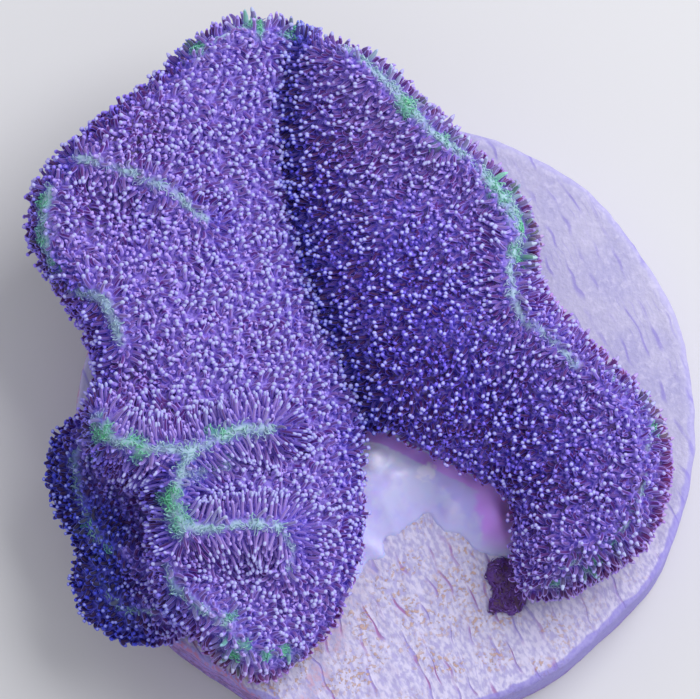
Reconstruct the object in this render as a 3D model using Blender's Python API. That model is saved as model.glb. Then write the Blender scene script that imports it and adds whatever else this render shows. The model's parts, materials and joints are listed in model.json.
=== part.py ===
"""A fragment of psammocora coral glued to a round ceramic frag disc.

The disc lies flat on its underside, whose centre is the origin. A pad of cured gel glue
sits on the disc, and the coral colony sits on the pad: a folded, plate-like growth whose two
lobes meet in a valley, with low ridges, a lower ledge and a skin of short tentacles.
Sizes here are in millimetres, and become metres when the meshes are made.
"""

import math
import random

import bmesh
import bpy
import numpy as np
from mathutils import Vector, noise
from mathutils.geometry import delaunay_2d_cdt

MM = 0.001
GAP = 0.3  # between pieces that touch

# Ceramic disc
DISC_RADIUS = 16.0
DISC_THICKNESS = 4.6
DISC_SIDES = 64
DISC_EDGE_ROUNDING = 0.75
DISC_FOOT_CHAMFER = 0.35
DISC_WAVES = ((3, 0.09, 0.4), (5, 0.09, 2.1), (9, 0.06, 4.0), (14, 0.06, 1.2))
DRAG_MARK_DIRECTION = (0.5, -0.866)
DRAG_MARK_PITCH = 2.3
DRAG_MARK_FLANK = 0.28
DRAG_MARK_HEIGHT = 0.14
DRAG_MARK_STEP = 3.0
DRAG_MARK_WANDER = 0.35
DRAG_MARK_MARGIN = 0.8

# Gel glue pad
GLUE_BOTTOM = DISC_THICKNESS + GAP
GLUE_TOP = DISC_THICKNESS + 1.55
GLUE_LUMPS = 0.14
GLUE_SHOULDER = 1.1
GLUE_LATTICE = 1.2
GLUE_OUTLINE = (
    (-1.4, -8.9), (-3.2, -8.0), (-4.6, -4.6), (-4.4, 0.6), (-1.6, 3.6), (3.0, 3.0),
    (7.0, 0.2), (8.2, -3.4), (7.4, -6.6), (5.6, -8.0), (4.2, -7.5), (2.5, -6.2),
    (1.3, -5.8), (0.3, -6.6), (-0.6, -7.8),
)  # fmt: skip

# Coral colony in plan: the edge of its tissue, without the tentacles
COLONY_OUTLINE = (
    (-7.1, 20.0), (-5.0, 19.8), (-2.7, 18.7), (-0.3, 17.3), (1.8, 15.3), (5.2, 12.1),
    (6.7, 10.5), (7.5, 8.7), (7.5, 6.6), (8.4, 4.9), (10.9, 2.2), (13.1, -0.2),
    (14.1, -2.4), (14.0, -4.7), (13.0, -7.1), (10.9, -9.0), (8.5, -10.2), (6.6, -10.0),
    (6.3, -7.8), (5.8, -5.1), (3.8, -3.1), (1.2, -1.7), (-0.5, -1.3), (-1.3, -2.5),
    (-1.2, -4.6), (-1.3, -7.4), (-2.0, -9.9), (-3.7, -12.4), (-5.8, -13.9), (-7.8, -13.5),
    (-9.6, -11.9), (-11.3, -10.3), (-11.8, -8.1), (-11.6, -6.0), (-12.6, -4.4),
    (-14.5, -3.1), (-15.2, -1.2), (-14.7, 1.0), (-15.2, 3.4), (-16.8, 6.0), (-18.0, 8.0),
    (-18.1, 10.3), (-16.7, 12.5), (-14.3, 14.7), (-11.9, 16.6), (-9.7, 18.7),
)  # fmt: skip
LEDGE_OUTLINE = (
    (-15.6, -0.2), (-17.1, -1.4), (-17.5, -3.4), (-16.8, -5.6), (-15.9, -7.0),
    (-16.1, -8.6), (-15.5, -10.5), (-14.0, -11.8), (-12.0, -12.2), (-9.9, -11.3),
    (-8.8, -8.9), (-8.8, -5.5), (-10.4, -2.1), (-13.2, -0.5),
)  # fmt: skip
VALLEY_LINE = (
    (-4.9, 19.0), (-5.4, 15.7), (-5.3, 12.8), (-4.8, 10.1), (-3.8, 6.9), (-2.5, 3.2),
    (-1.6, 0.3), (-1.2, -1.3),
)  # fmt: skip
NOTCH_LEFT_SIDE = ((-1.0, -4.9), (-1.3, -8.0), (-2.6, -10.6), (-4.9, -13.4))
NOTCH_RIGHT_SIDE = ((2.0, -1.8), (5.3, -3.6), (6.5, -5.9), (6.8, -9.8))

# Coral colony in height, above the surface that the disc stands on
VALLEY_FLOOR = 7.6
VALLEY_HEAD_RISE, VALLEY_HEAD_START, VALLEY_HEAD_END = 1.7, 8.0, 19.0
LEFT_LOBE_RISE, LEFT_LOBE_RUN = 2.9, 5.0
RIGHT_LOBE_RISE, RIGHT_LOBE_RUN = 3.5, 3.4
LOBE_SWELL, LOBE_SWELL_SIZE = 0.28, 3.2
UNDERSIDE = DISC_THICKNESS + GAP
ARCH_TOP = GLUE_TOP + GAP + 0.18
ARCH_FADE = 2.4
OVERHANG_LIFT, OVERHANG_START, OVERHANG_END = 1.5, 14.5, 20.5
LOBE_SHOULDERS = (1.7, 1.3)  # how far in the margin rolls over, above and below
LOBE_MARGIN = 0.45  # where the margin is widest, from the underside to the top

LEDGE_TOP = DISC_THICKNESS + 2.2
LEDGE_DROP, LEDGE_DROP_START, LEDGE_DROP_END = 1.1, 14.0, 18.0
LEDGE_SWELL, LEDGE_SWELL_SIZE = 0.25, 2.4
LEDGE_CLEARANCE = 1.4  # how much higher the lobe's underside is over the ledge
LEDGE_SHOULDERS = (1.3, 0.9)
LEDGE_MARGIN = 0.45

# Ridges of the lobes and of the ledge: (height, half-width, points in plan)
RIDGES = (
    (1.20, 0.75, ((-16.0, 12.1), (-13.1, 11.4), (-11.1, 10.5), (-9.3, 9.2))),
    (0.55, 0.80, ((-16.7, 11.1), (-17.2, 9.3), (-16.9, 7.1), (-15.6, 5.6), (-14.3, 4.6))),
    (1.60, 0.85, ((-14.8, -1.3), (-14.0, -2.5), (-12.4, -3.2), (-9.9, -3.2), (-8.7, -2.7),
                  (-7.4, -2.0), (-5.9, -1.9))),
    (1.70, 0.85, ((-9.7, -3.2), (-10.5, -4.7), (-10.8, -6.2), (-10.1, -7.2), (-8.4, -7.1),
                  (-6.9, -6.8), (-5.3, -7.0), (-4.7, -7.9), (-5.0, -9.3), (-5.9, -10.2))),
    (1.00, 0.80, ((-11.0, -8.6), (-10.8, -9.7), (-9.1, -10.9), (-7.9, -11.9), (-7.4, -12.8))),
    (0.80, 0.90, ((-2.1, 17.9), (-0.3, 16.2), (1.0, 14.8), (2.2, 13.3), (4.0, 12.0),
                  (5.6, 10.6), (6.5, 9.3), (6.7, 7.8), (6.2, 6.2), (6.4, 4.7))),
    (0.50, 0.80, ((6.4, 4.7), (6.8, 3.6), (8.3, 2.6), (9.5, 1.3))),
    (0.40, 0.90, ((11.1, 1.0), (12.5, -0.6), (13.2, -2.4), (13.0, -4.6), (12.1, -6.8),
                  (10.3, -8.2), (8.4, -9.1))),
    (0.40, 0.80, ((-10.0, 17.6), (-7.6, 19.2), (-4.7, 19.0))),
)  # fmt: skip
LEDGE_RIDGES = (
    (0.55, 0.70, ((-15.4, -1.3), (-16.0, -2.6), (-15.7, -4.4), (-15.0, -6.0))),
    (0.75, 0.70, ((-15.0, -6.4), (-14.2, -7.3), (-13.0, -8.1), (-11.5, -8.9))),
    (0.50, 0.70, ((-14.6, -8.6), (-14.2, -9.8), (-13.1, -10.5), (-11.6, -10.7))),
)  # fmt: skip

# Rounded bumps and hollows of the lobes: (height, radius, centre in plan)
BUMPS = (
    (0.55, 1.6, (3.8, 2.7)), (0.45, 1.7, (-0.4, 8.5)), (0.40, 1.8, (10.1, -3.9)),
    (0.35, 1.6, (8.8, -7.4)), (0.30, 1.4, (-7.4, -4.8)), (0.30, 1.8, (-12.0, 5.8)),
    (-0.70, 1.9, (-7.2, -9.4)), (-0.60, 1.6, (-12.4, 0.4)), (-0.40, 1.5, (6.0, -0.6)),
    (-0.45, 1.5, (-13.2, 9.2)),
)  # fmt: skip

# Living skin
FINE_LATTICE = 0.42
SKIN_SQUARE = 0.90
SKIN_SMOOTHING = 1
SKIN_JITTER = 0.10
LIVING_LIMIT = -0.25  # a face that looks further down than this carries no tentacle
UNDERSIDE_FLATNESS = math.radians(12)
TENTACLE_REACH = 0.95
TENTACLE_LEAN = 0.16
HOLLOW_SHORTENING = 0.45
SHARP_HOLLOW = 0.5  # the mean bend of a face's edges, in radians, that counts as a sharp fold
SEED = 7


def clear_scene():
    for thing in list(bpy.data.objects):
        bpy.data.objects.remove(thing)


def finish_of(name, colour, roughness, metallic=0.0):
    finish = bpy.data.materials.new(name)
    finish.use_nodes = True
    shader = finish.node_tree.nodes["Principled BSDF"]
    shader.inputs["Base Color"].default_value = (*colour, 1)
    shader.inputs["Roughness"].default_value = roughness
    shader.inputs["Metallic"].default_value = metallic
    return finish


def to_object(form, name, finish):
    """The bmesh in millimetres as an object in metres."""
    for vert in form.verts:
        vert.co *= MM
    mesh = bpy.data.meshes.new(name)
    form.to_mesh(mesh)
    form.free()
    mesh.materials.append(finish)
    thing = bpy.data.objects.new(name, mesh)
    bpy.context.scene.collection.objects.link(thing)
    return thing


# Curves, distances and noise in plan


def smooth_loop(points, spacing):
    """A closed curve through the points, as even steps of about that spacing."""
    knots = [Vector(p) for p in points]
    curve = []
    for i in range(len(knots)):
        a, b, c, d = (knots[(i + k) % len(knots)] for k in (-1, 0, 1, 2))
        for step in range(16):
            t = step / 16
            bend = 2 * a - 5 * b + 4 * c - d
            twist = 3 * b - 3 * c + d - a
            curve.append(0.5 * (2 * b + (c - a) * t + bend * t**2 + twist * t**3))
    curve = np.array(curve + curve[:1])
    along = np.concatenate([[0], np.cumsum(np.linalg.norm(np.diff(curve, axis=0), axis=1))])
    count = round(along[-1] / spacing)
    stops = np.linspace(0, along[-1], count, endpoint=False)
    return np.column_stack([np.interp(stops, along, curve[:, k]) for k in (0, 1)])


def distance_to_line(points, line):
    """The distance of each point to an open line of points."""
    line = np.asarray(line, float)
    best = np.full(len(points), np.inf)
    for a, b in zip(line[:-1], line[1:]):
        along = np.clip((points - a) @ (b - a) / ((b - a) @ (b - a)), 0, 1)
        nearest = a + along[:, None] * (b - a)
        best = np.minimum(best, np.linalg.norm(points - nearest, axis=1))
    return best


def depth_inside(points, loop):
    """How far each point is inside a closed loop; negative outside it."""
    edge = distance_to_line(points, np.vstack([loop, loop[:1]]))
    inside = np.zeros(len(points), bool)
    for a, b in zip(loop, np.roll(loop, -1, axis=0)):
        if a[1] == b[1]:
            continue
        crosses = (a[1] > points[:, 1]) != (b[1] > points[:, 1])
        at = a[0] + (points[:, 1] - a[1]) * (b[0] - a[0]) / (b[1] - a[1])
        inside ^= crosses & (points[:, 0] < at)
    return np.where(inside, edge, -edge)


def fade(x, start, end):
    """0 before start, 1 after end, and a smooth step between."""
    t = np.clip((x - start) / (end - start), 0, 1)
    return t * t * (3 - 2 * t)


def shoulder(depth, width):
    """The quarter-round by which a surface rolls over towards its margin, from 0 to 1."""
    t = np.clip(depth / width, 0, 1)
    return np.sqrt(1 - (1 - t) ** 2)


def ripple(points, size, layer=0.0):
    """Soft noise between about -1 and 1, with swells of that size."""
    return np.array([noise.noise(Vector((x / size, y / size, layer))) for x, y in points])


# Heights of the colony


def ridges_at(points, ridges):
    rise = np.zeros(len(points))
    for height, half_width, line in ridges:
        away = distance_to_line(points, line) / half_width
        rise = np.maximum(rise, height * np.exp(-(away**2)))
    return rise


def lobe_top(points):
    """The two lobes' upper surface, before the margin rolls over."""
    valley = np.array(VALLEY_LINE)[::-1]
    divide = np.interp(points[:, 1], valley[:, 1], valley[:, 0])
    to_left = distance_to_line(points, VALLEY_LINE + NOTCH_LEFT_SIDE)
    to_right = distance_to_line(points, VALLEY_LINE + NOTCH_RIGHT_SIDE)
    rise = np.where(
        points[:, 0] < divide,
        LEFT_LOBE_RISE * (1 - np.exp(-to_left / LEFT_LOBE_RUN)),
        RIGHT_LOBE_RISE * (1 - np.exp(-to_right / RIGHT_LOBE_RUN)),
    )
    head = VALLEY_HEAD_RISE * fade(points[:, 1], VALLEY_HEAD_START, VALLEY_HEAD_END)
    height = VALLEY_FLOOR + head + rise + LOBE_SWELL * ripple(points, LOBE_SWELL_SIZE)
    for bump, radius, centre in BUMPS:
        height += bump * np.exp(-(((points - centre) ** 2).sum(axis=1)) / radius**2)
    return height + ridges_at(points, RIDGES)


def lobe_underside(points):
    """Low over the disc, arched over the glue pad, and lifted over the ledge and overhang."""
    glue = depth_inside(points, smooth_loop(GLUE_OUTLINE, GLUE_LATTICE))
    arch = (ARCH_TOP - UNDERSIDE) * fade(glue, -ARCH_FADE, -0.5)
    over_ledge = fade(depth_inside(points, smooth_loop(LEDGE_OUTLINE, FINE_LATTICE)), -0.3, 1.2)
    reach = np.linalg.norm(points, axis=1)
    overhang = OVERHANG_LIFT * fade(reach, OVERHANG_START, OVERHANG_END)
    return UNDERSIDE + np.maximum(arch + overhang, LEDGE_CLEARANCE * over_ledge)


def ledge_top(points):
    """The lower ledge's upper surface, which falls away past the edge of the disc."""
    reach = np.linalg.norm(points, axis=1)
    drop = LEDGE_DROP * fade(reach, LEDGE_DROP_START, LEDGE_DROP_END)
    swell = LEDGE_SWELL * ripple(points, LEDGE_SWELL_SIZE, 5.0)
    return LEDGE_TOP - drop + swell + ridges_at(points, LEDGE_RIDGES)


def ledge_underside(points):
    return np.full(len(points), UNDERSIDE)


# Closed forms over an outline


def lattice_inside(loop, spacing, clearance):
    """A triangular lattice of the points that lie inside the loop by at least the clearance."""
    low, high = loop.min(axis=0), loop.max(axis=0)
    row_height = spacing * math.sqrt(0.75)
    rows = math.ceil((high[1] - low[1]) / row_height) + 1
    columns = math.ceil((high[0] - low[0]) / spacing) + 1
    lattice = []
    for row in range(rows):
        for column in range(columns):
            lattice.append((low[0] + (column + row % 2 / 2) * spacing, low[1] + row * row_height))
    lattice = np.array(lattice)
    return lattice[depth_inside(lattice, loop) > clearance]


def triangulate(loop, inner):
    """Triangles over the loop and the points inside it, anticlockwise from above."""
    plan = [Vector(p) for p in loop] + [Vector(p) for p in inner]
    border = [(i, (i + 1) % len(loop)) for i in range(len(loop))]
    corners, _, faces, *_ = delaunay_2d_cdt(plan, border, [], 1, 1e-6)
    turned = []
    for a, b, c in faces:
        area = (corners[b] - corners[a]).cross(corners[c] - corners[a])
        turned.append((a, b, c) if area > 0 else (a, c, b))
    return turned


def cushion(outline, top, underside, spacing, shoulders, margin):
    """A closed form whose upper and lower skins meet at a rolled margin, as a bmesh in mm."""
    loop = smooth_loop(outline, spacing)
    inner = lattice_inside(loop, spacing, 0.55 * spacing)
    plan = np.vstack([loop, inner])
    depth = np.maximum(depth_inside(plan, loop), 0)
    depth[: len(loop)] = 0
    high, low = top(plan), underside(plan)
    middle = low + margin * (high - low)
    high = middle + (high - middle) * shoulder(depth, shoulders[0])
    low = middle - (middle - low) * shoulder(depth, shoulders[1])
    form = bmesh.new()
    upper = [form.verts.new((x, y, z)) for (x, y), z in zip(plan, high)]
    lower = upper[: len(loop)]
    lower += [form.verts.new((x, y, z)) for (x, y), z in zip(inner, low[len(loop) :])]
    for a, b, c in triangulate(loop, inner):
        form.faces.new((upper[a], upper[b], upper[c]))
        form.faces.new((lower[c], lower[b], lower[a]))
    return form


def grown_together(forms, square):
    """The closed forms as one skin of even squares, as a bmesh in mm."""
    mesh = bpy.data.meshes.new("growth")
    together = bmesh.new()
    for form in forms:
        form.to_mesh(mesh)
        form.free()
        together.from_mesh(mesh)
    together.to_mesh(mesh)
    together.free()
    growth = bpy.data.objects.new("growth", mesh)
    bpy.context.scene.collection.objects.link(growth)
    skin = growth.modifiers.new("skin", "REMESH")
    skin.mode = "VOXEL"
    skin.voxel_size = square
    evaluated = growth.evaluated_get(bpy.context.evaluated_depsgraph_get())
    result = bmesh.new()
    result.from_mesh(evaluated.to_mesh())
    bpy.data.objects.remove(growth)
    bpy.data.meshes.remove(mesh)
    return result


# Coral colony


def hollow_of(face):
    """How far a face lies in a hollow: 0 on flat or rounded ground, up to 1 in a sharp fold."""
    bends = [edge.calc_face_angle_signed(0) for edge in face.edges]
    return min(1.0, max(0.0, -sum(bends) / len(bends) / SHARP_HOLLOW))


def random_offset(luck, size):
    return Vector([luck.uniform(-size, size) for _ in range(3)])


def settle_skin(skin, luck):
    """Evens the skin, roughens its living side, and simplifies its flat underside."""
    for _ in range(SKIN_SMOOTHING):
        bmesh.ops.smooth_vert(skin, verts=skin.verts, factor=0.5,
                              use_axis_x=True, use_axis_y=True, use_axis_z=True)  # fmt: skip
    skin.normal_update()
    bare = {face for face in skin.faces if face.normal.z <= LIVING_LIMIT}
    for vert in skin.verts:
        if not bare.issuperset(vert.link_faces):
            vert.co += random_offset(luck, SKIN_JITTER)
    bmesh.ops.dissolve_limit(
        skin,
        angle_limit=UNDERSIDE_FLATNESS,
        verts=[vert for vert in skin.verts if bare.issuperset(vert.link_faces)],
        edges=[edge for edge in skin.edges if bare.issuperset(edge.link_faces)],
    )
    skin.normal_update()


def grow_tentacles(skin, luck):
    """Raises a short spine on each face that carries living tissue."""
    living = [face for face in skin.faces if face.normal.z > LIVING_LIMIT]
    for face in living:
        reach = TENTACLE_REACH * (1 - HOLLOW_SHORTENING * hollow_of(face))
        reach *= luck.uniform(0.82, 1.0)
        lean = random_offset(luck, TENTACLE_LEAN)
        tip = skin.verts.new(face.calc_center_median() + face.normal * reach + lean)
        foot = list(face.verts)
        for a, b in zip(foot, foot[1:] + foot[:1]):
            skin.faces.new((a, b, tip))
    bmesh.ops.delete(skin, geom=living, context="FACES_ONLY")


def make_colony():
    lobes = cushion(
        COLONY_OUTLINE, lobe_top, lobe_underside, FINE_LATTICE, LOBE_SHOULDERS, LOBE_MARGIN
    )
    ledge = cushion(
        LEDGE_OUTLINE, ledge_top, ledge_underside, FINE_LATTICE, LEDGE_SHOULDERS, LEDGE_MARGIN
    )
    skin = grown_together([lobes, ledge], SKIN_SQUARE)
    luck = random.Random(SEED)
    settle_skin(skin, luck)
    grow_tentacles(skin, luck)
    bmesh.ops.triangulate(skin, faces=skin.faces)
    to_object(skin, "coral_colony", finish_of("coral tissue", (0.27, 0.15, 0.50), 0.55))


# Glue pad


def glue_top(points):
    return GLUE_TOP + GLUE_LUMPS * ripple(points, 1.6, 9.0)


def glue_bottom(points):
    return np.full(len(points), GLUE_BOTTOM)


def make_glue_pad():
    """A low pad with a rounded top edge, flat where it sits on the disc."""
    pad = cushion(GLUE_OUTLINE, glue_top, glue_bottom, GLUE_LATTICE, (GLUE_SHOULDER, 0.01), 0.02)
    thing = to_object(pad, "glue_pad", finish_of("cured gel glue", (0.62, 0.60, 0.84), 0.3))
    thing.data.shade_smooth()


# Ceramic disc


def disc_ring(inset):
    """The disc's uneven outline in plan, drawn in by the inset."""
    ring = []
    for i in range(DISC_SIDES):
        angle = 2 * math.pi * i / DISC_SIDES
        waves = sum(size * math.cos(count * angle + phase) for count, size, phase in DISC_WAVES)
        radius = DISC_RADIUS + waves - inset
        ring.append((math.cos(angle) * radius, math.sin(angle) * radius))
    return np.array(ring)


def drag_marks(loop):
    """Points, with heights, along the small steps that the disc's top was left with."""
    along = np.array(DRAG_MARK_DIRECTION)
    across = np.array((-along[1], along[0]))
    rows = math.ceil(DISC_RADIUS / DRAG_MARK_PITCH)
    columns = math.ceil(DISC_RADIUS / DRAG_MARK_STEP)
    marks = []
    for row in range(-rows, rows + 1):
        for column in range(-columns, columns + 1):
            place = along * (column + row % 2 / 2) * DRAG_MARK_STEP + across * row * DRAG_MARK_PITCH
            wander = DRAG_MARK_WANDER * noise.noise(Vector((*place * 0.3, 3.0)))
            marks.append((*(place + across * wander), 0.0))
            marks.append((*(place + across * (wander + DRAG_MARK_FLANK)), -DRAG_MARK_HEIGHT))
    marks = np.array(marks)
    depth = depth_inside(marks[:, :2], loop)
    marks[:, 2] *= fade(depth, 0.2, 2.0)
    return marks[depth > DRAG_MARK_MARGIN]


def make_disc():
    """A squat puck with a rounded top edge, an uneven rim and a faintly stepped top."""
    rounding = DISC_EDGE_ROUNDING
    halfway = (1 - math.sqrt(0.5)) * rounding
    profile = (
        (DISC_FOOT_CHAMFER, 0.0),
        (0.0, DISC_FOOT_CHAMFER),
        (0.0, DISC_THICKNESS - rounding),
        (halfway, DISC_THICKNESS - halfway),
        (rounding, DISC_THICKNESS),
    )
    form = bmesh.new()
    rings = [[form.verts.new((x, y, z)) for x, y in disc_ring(inset)] for inset, z in profile]
    for low, high in zip(rings[:-1], rings[1:]):
        for i in range(DISC_SIDES):
            after = (i + 1) % DISC_SIDES
            form.faces.new((low[i], low[after], high[after], high[i]))
    form.faces.new(rings[0][::-1])
    loop = disc_ring(rounding)
    marks = drag_marks(loop)
    top = rings[-1] + [form.verts.new((x, y, DISC_THICKNESS + z)) for x, y, z in marks]
    for a, b, c in triangulate(loop, marks[:, :2]):
        form.faces.new((top[a], top[b], top[c]))
    bmesh.ops.triangulate(form, faces=form.faces)
    thing = to_object(form, "frag_disc", finish_of("porous ceramic", (0.66, 0.65, 0.78), 0.85))
    thing.data.shade_smooth()
    thing.data.set_sharp_from_angle(angle=math.radians(30))


clear_scene()
make_disc()
make_glue_pad()
make_colony()
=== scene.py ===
import json
import math

import bmesh
import bpy
import numpy as np
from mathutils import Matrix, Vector, noise
from mathutils.geometry import delaunay_2d_cdt

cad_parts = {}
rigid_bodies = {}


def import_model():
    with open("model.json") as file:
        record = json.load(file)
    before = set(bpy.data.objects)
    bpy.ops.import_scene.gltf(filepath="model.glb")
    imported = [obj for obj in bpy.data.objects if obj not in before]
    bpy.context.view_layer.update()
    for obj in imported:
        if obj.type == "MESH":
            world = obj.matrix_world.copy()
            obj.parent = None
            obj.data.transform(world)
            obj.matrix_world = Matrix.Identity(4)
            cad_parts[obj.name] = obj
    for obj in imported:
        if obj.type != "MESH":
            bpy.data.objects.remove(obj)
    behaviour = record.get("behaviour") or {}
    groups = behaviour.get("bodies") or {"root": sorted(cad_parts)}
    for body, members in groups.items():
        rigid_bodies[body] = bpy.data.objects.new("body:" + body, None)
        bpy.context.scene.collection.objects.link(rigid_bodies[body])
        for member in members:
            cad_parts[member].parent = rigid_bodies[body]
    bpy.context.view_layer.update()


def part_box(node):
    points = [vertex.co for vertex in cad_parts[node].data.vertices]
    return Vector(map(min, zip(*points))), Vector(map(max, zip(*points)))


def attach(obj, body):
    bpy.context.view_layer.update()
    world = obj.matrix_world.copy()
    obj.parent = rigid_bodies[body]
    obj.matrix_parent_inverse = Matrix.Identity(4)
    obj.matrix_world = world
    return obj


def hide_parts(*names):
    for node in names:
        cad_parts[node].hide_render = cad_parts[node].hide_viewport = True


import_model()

# ---------------------------------------------------------------------------
# Camera, floor and light. The camera looks down at the disc, almost from
# straight above. The floor is plain and pale, with a softbox to the upper
# right and a dim even room round it.
# ---------------------------------------------------------------------------

MM = 0.001  # sizes and places are in mm wherever nothing else is said
DISC_TOP = (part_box("frag_disc")[1] / MM).z

CAMERA_AIM = Vector((-1.86, 3.48, DISC_TOP))
CAMERA_DISTANCE = 220.0
CAMERA_OFF_VERTICAL = math.radians(13)
CAMERA_LENS = 217.8
FLOOR_SIZE = 1200.0
KEY_DIRECTION = Vector((0.60, 0.34, 0.80))
KEY_DISTANCE = 260.0
KEY_SIZE = 190.0
KEY_WATTS = 0.60
ROOM_STRENGTH = 0.61
ROOM_COLOUR = (0.95, 0.96, 1.0, 1)
FLOOR_COLOUR = (0.66, 0.66, 0.68, 1)


def seen(red, green, blue):
    """A colour as it is seen, from 0 to 255, as the linear values that a shader takes."""
    share = (c / 255 for c in (red, green, blue))
    return tuple(c / 12.92 if c < 0.04 else ((c + 0.055) / 1.055) ** 2.4 for c in share) + (1.0,)


class Nodes:
    """The nodes of a material or of a Geometry Nodes tree, with short names for joining them."""

    def __init__(self, tree):
        self.nodes = tree.nodes
        self.links = tree.links

    def put(self, socket, value):
        if isinstance(value, bpy.types.NodeSocket):
            self.links.new(value, socket)
        else:
            socket.default_value = value

    def sum(self, operation, a, b=0.0):
        node = self.nodes.new("ShaderNodeMath")
        node.operation = operation
        self.put(node.inputs[0], a)
        self.put(node.inputs[1], b)
        return node.outputs[0]

    def times(self, a, b):
        return self.sum("MULTIPLY", a, b)

    def plus(self, a, b):
        return self.sum("ADD", a, b)

    def away(self, value, middle):
        """How far the value is from the middle, on either side."""
        return self.sum("ABSOLUTE", self.sum("SUBTRACT", value, middle))


class Finish(Nodes):
    """A Principled material, with short names for the nodes that paint it."""

    def __init__(self, name, **sockets):
        self.material = bpy.data.materials.new(name)
        self.material.use_nodes = True
        super().__init__(self.material.node_tree)
        self.shader = self.nodes["Principled BSDF"]
        for socket, value in sockets.items():
            self.shader.inputs[socket.replace("_", " ")].default_value = value
        self.place = self.nodes.new("ShaderNodeTexCoord").outputs["Object"]

    def attribute(self, name):
        node = self.nodes.new("ShaderNodeAttribute")
        node.attribute_name = name
        return node.outputs["Fac"]

    def step(self, value, start, end, low=0.0, high=1.0):
        """Low before start, high after end, and smooth between."""
        node = self.nodes.new("ShaderNodeMapRange")
        node.interpolation_type = "SMOOTHSTEP"
        for socket, number in zip(node.inputs, (value, start, end, low, high)):
            self.put(socket, number)
        return node.outputs[0]

    def mix(self, share, a, b):
        node = self.nodes.new("ShaderNodeMix")
        node.data_type = "RGBA"
        colours = [socket for socket in node.inputs if socket.type == "RGBA"]
        self.put(node.inputs[0], share)
        self.put(colours[0], a)
        self.put(colours[1], b)
        return next(socket for socket in node.outputs if socket.type == "RGBA")

    def paint(self, share, strength, colour, over):
        """The colour with another laid over it, by the share times the strength."""
        return self.mix(self.times(share, strength), colour, over)

    def wear(self, colour):
        """Gives the material its colour."""
        self.put(self.shader.inputs["Base Color"], colour)

    def stretched(self, direction, along, across):
        """The place, turned so that its x runs along the direction and scaled in plan, per mm."""
        turned = self.nodes.new("ShaderNodeMapping")
        turned.vector_type = "POINT"
        turned.inputs["Rotation"].default_value[2] = -math.atan2(direction[1], direction[0])
        self.links.new(self.place, turned.inputs["Vector"])
        scaled = self.nodes.new("ShaderNodeVectorMath")
        scaled.operation = "MULTIPLY"
        scaled.inputs[1].default_value = (along / MM, across / MM, across / MM)
        self.links.new(turned.outputs["Vector"], scaled.inputs[0])
        return scaled.outputs["Vector"]

    def noise(self, per_mm, detail, place=None):
        """Soft noise, with so many swells to the mm, or to the unit of a stretched place."""
        node = self.nodes.new("ShaderNodeTexNoise")
        node.inputs["Scale"].default_value = per_mm / MM if place is None else per_mm
        node.inputs["Detail"].default_value = detail
        self.links.new(place or self.place, node.inputs["Vector"])
        return node.outputs["Fac"]

    def patches(self, per_mm, detail, start, end):
        """Noise as irregular patches: 0 where it is below start, 1 where it is above end."""
        return self.step(self.noise(per_mm, detail), start, end)

    def cell_walls(self, per_mm):
        """How far each place is from the nearest wall between irregular cells."""
        node = self.nodes.new("ShaderNodeTexVoronoi")
        node.feature = "DISTANCE_TO_EDGE"
        node.inputs["Scale"].default_value = per_mm / MM
        self.links.new(self.place, node.inputs["Vector"])
        return node.outputs["Distance"]

    def axis(self, letter):
        """A coordinate of the place, in mm."""
        node = self.nodes.new("ShaderNodeSeparateXYZ")
        self.links.new(self.place, node.inputs[0])
        return self.times(node.outputs[letter], 1 / MM)

    def bump(self, height, depth_mm, strength):
        """Relief too fine for the mesh."""
        node = self.nodes.new("ShaderNodeBump")
        node.inputs["Strength"].default_value = strength
        node.inputs["Distance"].default_value = depth_mm * MM
        self.links.new(height, node.inputs["Height"])
        self.links.new(node.outputs[0], self.shader.inputs["Normal"])


def stand(name, data):
    """An object of that data, standing in the scene."""
    thing = bpy.data.objects.new(name, data)
    bpy.context.scene.collection.objects.link(thing)
    return thing


def place_on_floor():
    half = FLOOR_SIZE * MM / 2
    mesh = bpy.data.meshes.new("floor")
    corners = [(-half, -half, 0), (half, -half, 0), (half, half, 0), (-half, half, 0)]
    mesh.from_pydata(corners, [], [(0, 1, 2, 3)])
    floor = stand("floor", mesh)
    pale = Finish("plain pale floor", Base_Color=FLOOR_COLOUR, Roughness=0.9)
    mesh.materials.append(pale.material)


def light_the_set():
    softbox = bpy.data.lights.new("softbox", "AREA")
    softbox.size = KEY_SIZE * MM
    softbox.energy = KEY_WATTS
    lamp = stand("softbox", softbox)
    direction = KEY_DIRECTION.normalized()
    lamp.location = (CAMERA_AIM + direction * KEY_DISTANCE) * MM
    lamp.rotation_euler = direction.to_track_quat("Z", "Y").to_euler()
    room = bpy.data.worlds.new("room")
    room.use_nodes = True
    background = room.node_tree.nodes["Background"]
    background.inputs["Color"].default_value = ROOM_COLOUR
    background.inputs["Strength"].default_value = ROOM_STRENGTH
    bpy.context.scene.world = room


def set_camera():
    camera = stand("camera", bpy.data.cameras.new("camera"))
    back = Vector((0, -math.sin(CAMERA_OFF_VERTICAL), math.cos(CAMERA_OFF_VERTICAL)))
    camera.location = (CAMERA_AIM + back * CAMERA_DISTANCE) * MM
    camera.rotation_euler = back.to_track_quat("Z", "Y").to_euler()
    camera.data.lens = CAMERA_LENS
    camera.data.clip_start = 10 * MM
    camera.data.clip_end = 10_000 * MM
    bpy.context.scene.camera = camera


place_on_floor()
light_the_set()
set_camera()
bpy.context.scene.view_settings.view_transform = "Standard"

# ---------------------------------------------------------------------------
# Ceramic disc. A pressed puck of porous unglazed ceramic, with an uneven rim.
# Its top was dragged smooth while damp, which left small wavy steps, and
# ochre grit and a red film have settled in them.
# ---------------------------------------------------------------------------

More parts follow.
